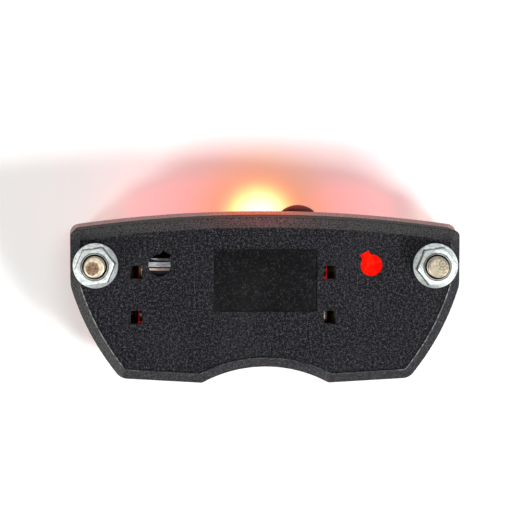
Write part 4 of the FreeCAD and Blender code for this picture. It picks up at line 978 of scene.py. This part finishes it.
class TAILLIGHT_OT_nuts(bpy.types.Operator):
    """Make the two flanged nuts"""

    bl_idname = "tail_light.nuts"
    bl_label = "Nuts"

    def execute(self, context):
        s = sizes()
        height, crown, bore, columns = 4.5 * MM, 4.16 * MM, 2.55 * MM, 96
        flange, slope = s.flange_radius, 0.8 / 0.68
        outline = []
        for column in range(columns):
            turn = s.hexagon_turn + column * 2 * math.pi / columns
            hexagon = hexagon_reach(turn, s.nut_flats, s.hexagon_turn)
            ledge = 0.7 * MM + (flange - 0.12 * MM - hexagon) * slope
            shoulder = height - max(0.0, hexagon - crown) / math.tan(math.radians(60))
            face = min(hexagon, crown)
            profile = [
                (bore, 0.0), (bore + 0.35 * MM, 0.0), (flange - 0.1 * MM, 0.0), (flange, 0.1 * MM),
                (flange, 0.55 * MM), (flange - 0.12 * MM, 0.7 * MM), (hexagon + 0.10 * MM, ledge - 0.10 * MM),
                (hexagon, ledge + 0.06 * MM), (hexagon, shoulder - 0.02 * MM),
                (face - 0.03 * MM, height - 0.01 * MM), (face - 0.10 * MM, height),
                (3.02 * MM, height), (2.94 * MM, height - 0.05 * MM), (bore, 4.05 * MM),
            ]
            outline.append([polar(radius, turn, z) for radius, z in profile])
        rows = np.swapaxes(np.asarray(outline), 0, 1)
        for side, x in STUDS.items():
            place = Matrix.Translation((x, BOSS_FACE, 0)) @ BACKWARD
            nut = set_in("flanged_nut_" + side, rows_mesh("nut_" + side, rows, closed_loop=True), place,
                         "zinc", "nut_" + side, ["nut_" + side])
            rounded(nut, 0.07 * MM, 24)
        return {"FINISHED"}


class TAILLIGHT_OT_button(bpy.types.Operator):
    """Make the domed push button"""

    bl_idname = "tail_light.button"
    bl_label = "Push Button"

    def execute(self, context):
        dome, reach, top, flange_top = 6.0 * MM, 3.95 * MM, 13.45 * MM, 10.0 * MM
        edge = math.asin((reach - 0.25 * MM) / dome)
        crown = [(dome * math.sin(t), top - dome + dome * math.cos(t)) for t in np.linspace(edge, 0.02, 14)]
        rim = crown[0][1]
        lip = [(reach, rim - 0.30 * MM), (reach - 0.03 * MM, rim - 0.16 * MM), (reach - 0.11 * MM, rim - 0.05 * MM)]
        foot = [(1.4 * MM, 8.65 * MM), (1.6 * MM, 8.8 * MM), (1.6 * MM, 9.4 * MM), (4.5 * MM, 9.4 * MM),
                (4.6 * MM, 9.5 * MM), (4.6 * MM, 9.9 * MM), (4.5 * MM, flange_top), (4.05 * MM, flange_top),
                (reach, flange_top + 0.1 * MM)]
        mesh = turned_mesh("button", foot + lip + crown, sizes().button_columns)
        button = set_in("domed_button", mesh, Matrix.Translation(BUTTON_AXIS),
                        "button_rubber", "button", ["push_button"])
        rounded(button, 0.05 * MM, 40)
        return {"FINISHED"}


class TAILLIGHT_OT_diode(bpy.types.Operator):
    """Make the lit diode and finish its leads and spacer"""

    bl_idname = "tail_light.diode"
    bl_label = "Diode"

    def execute(self, context):
        radius, dome_middle = 2.5 * MM, 5.0 * MM
        body = [(2.75 * MM, 0.0), (2.85 * MM, 0.1 * MM), (2.85 * MM, 0.9 * MM), (2.75 * MM, 1.0 * MM),
                (radius, 1.02 * MM), (radius, 2.5 * MM)]
        cup = [(0.5 * MM, 0.6 * MM), (0.55 * MM, 2.4 * MM), (1.1 * MM, 3.2 * MM), (1.0 * MM, 3.25 * MM),
               (0.5 * MM, 2.8 * MM), (0.3 * MM, 2.8 * MM), (0.28 * MM, 3.0 * MM)]
        shell = turned_mesh("shell", body + arc((0.0, dome_middle), radius, 0, 88, 14), 48)
        mesh = joined("diode", shell, turned_mesh("cup", cup, 24))
        place = Matrix.Translation(DIODE_FOOT) @ FORWARD
        set_in("lit_diode", mesh, place, "diode_red", "housing", ["led"])
        mesh.materials.append(finish_named("die_glow"))
        for face in mesh.polygons[len(shell.polygons):]:
            face.material_index = 1
        dress("led_leads", "lead_metal", 0.03 * MM)
        dress("led_spacer", "spacer_black", sizes().small_edge_round)
        return {"FINISHED"}


def cross_recess(arm, tail, depth, height):
    """Two tapered bars across each other, to be cut from a screw's head."""
    crossed = bmesh.new()
    for turn in (0.0, math.pi / 2):
        made = bmesh.ops.create_cube(crossed, size=1.0)["verts"]
        for vert in made:
            lean = 0.55 if vert.co.z < 0 else 1.0
            vert.co = Vector((vert.co.x * 2 * arm * lean, vert.co.y * 2 * tail * lean, vert.co.z * 2 * depth))
        bmesh.ops.rotate(crossed, verts=made, cent=(0, 0, 0), matrix=Matrix.Rotation(turn, 3, "Z"))
        bmesh.ops.translate(crossed, verts=made, vec=(0, 0, height))
    return mesh_from(crossed, "recess")


class TAILLIGHT_OT_cover_screws(bpy.types.Operator):
    """Make the two cross-headed screws that hold the lens"""

    bl_idname = "tail_light.cover_screws"
    bl_label = "Cover Screws"

    def execute(self, context):
        s = sizes()
        radius, top, tip, shank_radius = 2.5 * MM, 1.8 * MM, -17 * MM, 1.25 * MM
        head = [(1.2 * MM, 0.0), (2.42 * MM, 0.0), (radius, 0.1 * MM), (radius, 0.7 * MM)]
        head += [(radius * math.cos(t) ** 0.7, 0.7 * MM + 1.1 * MM * math.sin(t))
                 for t in np.radians(np.linspace(10, 84, 10))]
        head.append((0.25 * MM, top))

        def limit(height):
            return min(shank_radius, 0.15 * MM + max(0.0, height - tip) * 0.45)

        for side, x in COVER_SCREWS.items():
            whole = bpy.data.objects.new("head", turned_mesh("head", head, 48))
            cutter = bpy.data.objects.new("recess", cross_recess(1.45 * MM, 0.30 * MM, 1.15 * MM, top))
            for obj in (whole, cutter):
                context.scene.collection.objects.link(obj)
            carve = whole.modifiers.new("Cross recess", "BOOLEAN")
            carve.object = cutter
            carve.use_self = True
            carved = bpy.data.meshes.new_from_object(whole.evaluated_get(context.evaluated_depsgraph_get()))
            for obj in (whole, cutter):
                bpy.data.objects.remove(obj)
            shank = threaded_mesh("shank", tip, 0.05 * MM, shank_radius, s.screw_pitch, 0.22 * MM, limit, 28)
            place = Matrix.Translation((x, *SCREW_SEAT)) @ FORWARD
            screw = set_in("cross_screw_" + side, joined("screw_" + side, carved, shank), place,
                           "screw_steel", "lens", ["cover_screws"])
            rounded(screw, 0.03 * MM, 40)
        return {"FINISHED"}


def inside_panel(x, y, half_width, half_height, corner):
    """Whether a point is inside a rectangle with round corners."""
    over_x = max(0.0, abs(x) - (half_width - corner))
    over_y = max(0.0, abs(y) - (half_height - corner))
    return abs(x) <= half_width and abs(y) <= half_height and math.hypot(over_x, over_y) <= corner


def prism_field(pitch, half_width, half_height, corner):
    """Corner prisms on a triangular grid, with a skirt down into the sheet that carries them."""
    rise, row, grid_reach = pitch * math.sqrt(0.5), pitch * math.sqrt(0.75), 28
    field = bmesh.new()
    found = {}

    def node(i, j):
        if (i, j) not in found:
            height = (i - j) % 3 * rise + 0.01 * MM
            found[i, j] = field.verts.new(((i + j / 2) * pitch, j * row, height))
        return found[i, j]

    for i in range(-2 * grid_reach, 2 * grid_reach):
        for j in range(-grid_reach, grid_reach):
            for corners in (((i, j), (i + 1, j), (i, j + 1)), ((i + 1, j), (i + 1, j + 1), (i, j + 1))):
                if all(inside_panel((a + b / 2) * pitch, b * row, half_width, half_height, corner)
                       for a, b in corners):
                    field.faces.new([node(a, b) for a, b in corners])
    skirt = bmesh.ops.extrude_edge_only(field, edges=[e for e in field.edges if e.is_boundary])
    for vert in skirt["geom"]:
        if isinstance(vert, bmesh.types.BMVert):
            vert.co.z = -0.02 * MM
    return mesh_from(field, "prisms")


class TAILLIGHT_OT_reflectors(bpy.types.Operator):
    """Make the two reflectors with their corner prisms"""

    bl_idname = "tail_light.reflectors"
    bl_label = "Reflectors"

    def execute(self, context):
        half_width, half_height, corner, sheet, margin = 11 * MM, 10.5 * MM, 2 * MM, 1.4 * MM, 0.4 * MM
        outline = []
        for k, (along, up) in enumerate(((1, 1), (-1, 1), (-1, -1), (1, -1))):
            centre = (along * (half_width - corner), up * (half_height - corner))
            outline += arc(centre, corner, 90 * k, 90 * k + 90, 9)
        rows = []
        for inset, height in ((0.12 * MM, -sheet), (0.0, -sheet + 0.12 * MM), (0.0, -0.12 * MM), (0.12 * MM, 0.0)):
            scale = 1 - inset / half_width
            rows.append([(u * scale, v * scale, height) for u, v in outline])
        for side, x in REFLECTORS.items():
            prisms = prism_field(sizes().prism_pitch, half_width - margin, half_height - margin, corner - margin)
            place = Matrix.Translation((x, *PANEL_MIDDLE)) @ BACKWARD
            # The left reflector gets the weaker painted glow
            finish = "red_prisms_dim" if side == "left" else "red_prisms"
            panel = set_in("prism_panel_" + side, joined("panel_" + side, rows_mesh("slab", rows), prisms), place,
                           finish, "lens", ["reflector_" + side])
            panel.modifiers.new("Prism faces", "EDGE_SPLIT").split_angle = math.radians(30)
        return {"FINISHED"}


class TAILLIGHT_OT_cells(bpy.types.Operator):
    """Finish the two cells"""

    bl_idname = "tail_light.cells"
    bl_label = "Cells"

    def execute(self, context):
        for node in ("cell_upper", "cell_lower"):
            dress(node, "cell_jacket", 0.10 * MM)
        return {"FINISHED"}


class TAILLIGHT_OT_contacts(bpy.types.Operator):
    """Finish the battery contacts"""

    bl_idname = "tail_light.contacts"
    bl_label = "Contacts"

    def execute(self, context):
        for node in ("contact_bridge", "contact_positive", "contact_negative"):
            dress(node, "contact_metal", 0.04 * MM)
        return {"FINISHED"}


class TAILLIGHT_OT_board(bpy.types.Operator):
    """Finish the circuit board and what is soldered to it"""

    bl_idname = "tail_light.board"
    bl_label = "Circuit Board"

    def execute(self, context):
        parts = {
            "circuit_board": "board_green", "driver_chip": "chip_black", "chip_leads": "lead_metal",
            "boost_inductor": "inductor_grey", "capacitor": "capacitor_tan", "resistors": "resistor_dark",
            "switch_body": "switch_black", "switch_plunger": "plunger_white",
        }
        for node, finish in parts.items():
            dress(node, finish, 0.03 * MM if node in ("chip_leads", "resistors") else sizes().small_edge_round)
        return {"FINISHED"}


def lay_paper(stage):
    """White paper under the lens, seen through from its other side, with a painted pool of orange light beside the
    diode.
    """
    shape = bmesh.new()
    bmesh.ops.create_grid(shape, x_segments=8, y_segments=8, size=0.6)
    mesh = mesh_from(shape, "paper")
    paper = bpy.data.objects.new("paper", mesh)
    bpy.context.scene.collection.objects.link(paper)
    paper.matrix_world = Matrix.Translation((0, stage.paper_place, 0)) @ BACKWARD
    w = Finish("paper")
    x, y, _ = w.axes(w.place)
    away = w.reach(x, w.minus(y, 9 * MM))
    # Painted glow: where the paper's colour and brightness are warmed beside the diode
    painted_glow_near_diode = w.times(w.fade(away, 9 * MM, 20 * MM), w.ramp(away, 3 * MM, 8 * MM, 0.2, 1.0))
    fibre = w.mix(w.noise(w.place, 900.0, 3.0), stage.paper, scaled(stage.paper, 0.985))
    path = w.add("ShaderNodeLightPath").outputs
    seen = w.most(path["Is Camera Ray"], path["Is Glossy Ray"], path["Is Transmission Ray"])
    w.set({
        # Colour and added brightness take the painted pool of light beside the diode
        "Base Color": w.mix(painted_glow_near_diode, fibre, stage.warm_paper),
        "Emission Color": w.mix(w.fade(away, 7 * MM, 30 * MM), WHITE, stage.warm_lift),
        "Emission Strength": w.times(seen, stage.paper_lift),
        "Roughness": 1.0, "Specular IOR Level": 0.0,
    })
    back = w.add("ShaderNodeNewGeometry").outputs["Backfacing"]
    w.overlay(back, w.add("ShaderNodeBsdfTransparent"))
    mesh.materials.append(w.material)


def soft_world(stage):
    """White where it is seen, and a plain soft light all round."""
    world = bpy.data.worlds.new("white room")
    bpy.context.scene.world = world
    world.use_nodes = True
    w = Wiring(world.node_tree)
    w.tree.nodes.clear()
    path = w.add("ShaderNodeLightPath").outputs
    glossy = path["Is Glossy Ray"]
    seen = w.most(path["Is Camera Ray"], path["Is Transmission Ray"], glossy)
    forward = w.axes(w.add("ShaderNodeTexCoord").outputs["Generated"])[1]
    mirrored = w.ramp(forward, -1.0, 0.2, 0.62, 1.0)
    background = w.add("ShaderNodeBackground", {
        "Color": w.mix(seen, (stage.surround,) * 3, WHITE),
        "Strength": w.plus(1.0, w.times(glossy, w.minus(mirrored, 1.0))),
    })
    w.add("ShaderNodeOutputWorld", {"Surface": background.outputs[0]})


def hang_lamp(name, kind, place, target, power, colour=WHITE, mirrored=True, **form):
    """A lamp turned to its target, which the camera doesn't see."""
    lamp = bpy.data.lights.new(name, kind)
    lamp.energy = power
    lamp.color = colour
    for key, value in form.items():
        setattr(lamp, key, value)
    obj = bpy.data.objects.new(name, lamp)
    bpy.context.scene.collection.objects.link(obj)
    obj.matrix_world = aimed(place, target)
    obj.visible_camera = False
    obj.visible_glossy = mirrored


def aimed(place, target):
    """A pose at place that looks at target."""
    place, target = Vector(place), Vector(target)
    return Matrix.Translation(place) @ (target - place).to_track_quat("-Z", "Y").to_matrix().to_4x4()


def set_camera(stage):
    data = bpy.data.cameras.new("camera")
    data.lens = stage.camera_lens
    data.sensor_width = 36.0
    data.clip_start = 0.01
    camera = bpy.data.objects.new("camera", data)
    bpy.context.scene.collection.objects.link(camera)
    roll = Matrix.Rotation(stage.camera_roll, 4, "Z")
    camera.matrix_world = aimed(stage.camera_place, stage.camera_target) @ roll
    bpy.context.scene.camera = camera


class TAILLIGHT_OT_stage(bpy.types.Operator):
    """Lay the paper and set the lamps and the camera"""

    bl_idname = "tail_light.stage"
    bl_label = "Stage"

    def execute(self, context):
        stage = context.scene.tail_light_stage
        lay_paper(stage)
        soft_world(stage)
        middle = (0.0, stage.paper_place, 0.0)
        side = stage.lamp_size
        hang_lamp("left_lamp", "AREA", stage.left_place, middle, stage.left_power, stage.left_colour, size=side)
        hang_lamp("right_lamp", "AREA", stage.right_place, middle, stage.right_power, size=side)
        upward = Vector(stage.spill_place) + Vector((0.0, 17.5 * MM, 17.4 * MM))
        hang_lamp("lens_spill", "AREA", stage.spill_place, upward, stage.spill_power, stage.spill_colour,
                  shape="RECTANGLE", size=64 * MM, size_y=3 * MM)
        hang_lamp("front_lamp", "AREA", stage.front_place, middle, stage.front_power, mirrored=False, size=side)
        hang_lamp("diode_glow", "SPOT", stage.glow_place, Vector(stage.glow_place) + Vector((0.0, 1.0, 0.0)),
                  stage.glow_power, stage.glow_colour, shadow_soft_size=0.8 * MM,
                  spot_size=stage.glow_spread, spot_blend=1.0)
        hang_lamp("top_glow", "POINT", stage.top_place, middle, stage.top_power, stage.top_colour, mirrored=False,
                  shadow_soft_size=0.8 * MM)
        hang_lamp("inside_glow", "AREA", stage.inside_place, Vector(stage.inside_place) - Vector((0.0, 1.0, 0.0)),
                  stage.inside_power, stage.inside_colour, shape="RECTANGLE", size=60 * MM, size_y=20 * MM)
        set_camera(stage)
        context.scene.view_settings.view_transform = "Standard"
        return {"FINISHED"}


class TAILLIGHT_PT_sidebar(bpy.types.Panel):
    """Lists the pieces in the sidebar"""

    bl_idname = "TAILLIGHT_PT_sidebar"
    bl_label = "Tail Light"
    bl_space_type = "VIEW_3D"
    bl_region_type = "UI"
    bl_category = "Tail Light"

    def draw(self, context):
        for operator in OPERATORS:
            self.layout.operator(operator.bl_idname)
        for key in GROUPS:
            box = self.layout.box()
            box.label(text=key.rsplit("_", 1)[1].capitalize())
            group = getattr(context.scene, key)
            for name in group.__annotations__:
                box.prop(group, name)


OPERATORS = (
    TAILLIGHT_OT_housing, TAILLIGHT_OT_lens, TAILLIGHT_OT_bolts, TAILLIGHT_OT_nuts, TAILLIGHT_OT_button,
    TAILLIGHT_OT_diode, TAILLIGHT_OT_cover_screws, TAILLIGHT_OT_reflectors, TAILLIGHT_OT_cells,
    TAILLIGHT_OT_contacts, TAILLIGHT_OT_board, TAILLIGHT_OT_stage,
)
GROUPS = {
    "tail_light_sizes": TailLightSizes, "tail_light_colours": TailLightColours, "tail_light_stage": TailLightStage,
}


def register():
    for made in (*GROUPS.values(), *OPERATORS, TAILLIGHT_PT_sidebar):
        bpy.utils.register_class(made)
    for name, group in GROUPS.items():
        setattr(bpy.types.Scene, name, PointerProperty(type=group))


def unregister():
    for name in GROUPS:
        delattr(bpy.types.Scene, name)
    for made in (TAILLIGHT_PT_sidebar, *reversed(OPERATORS), *reversed(GROUPS.values())):
        bpy.utils.unregister_class(made)


def main():
    """Dresses the whole light."""
    register()
    for operator in OPERATORS:
        getattr(bpy.ops.tail_light, operator.bl_idname.split(".")[1])()


if __name__ == "__main__":
    main()
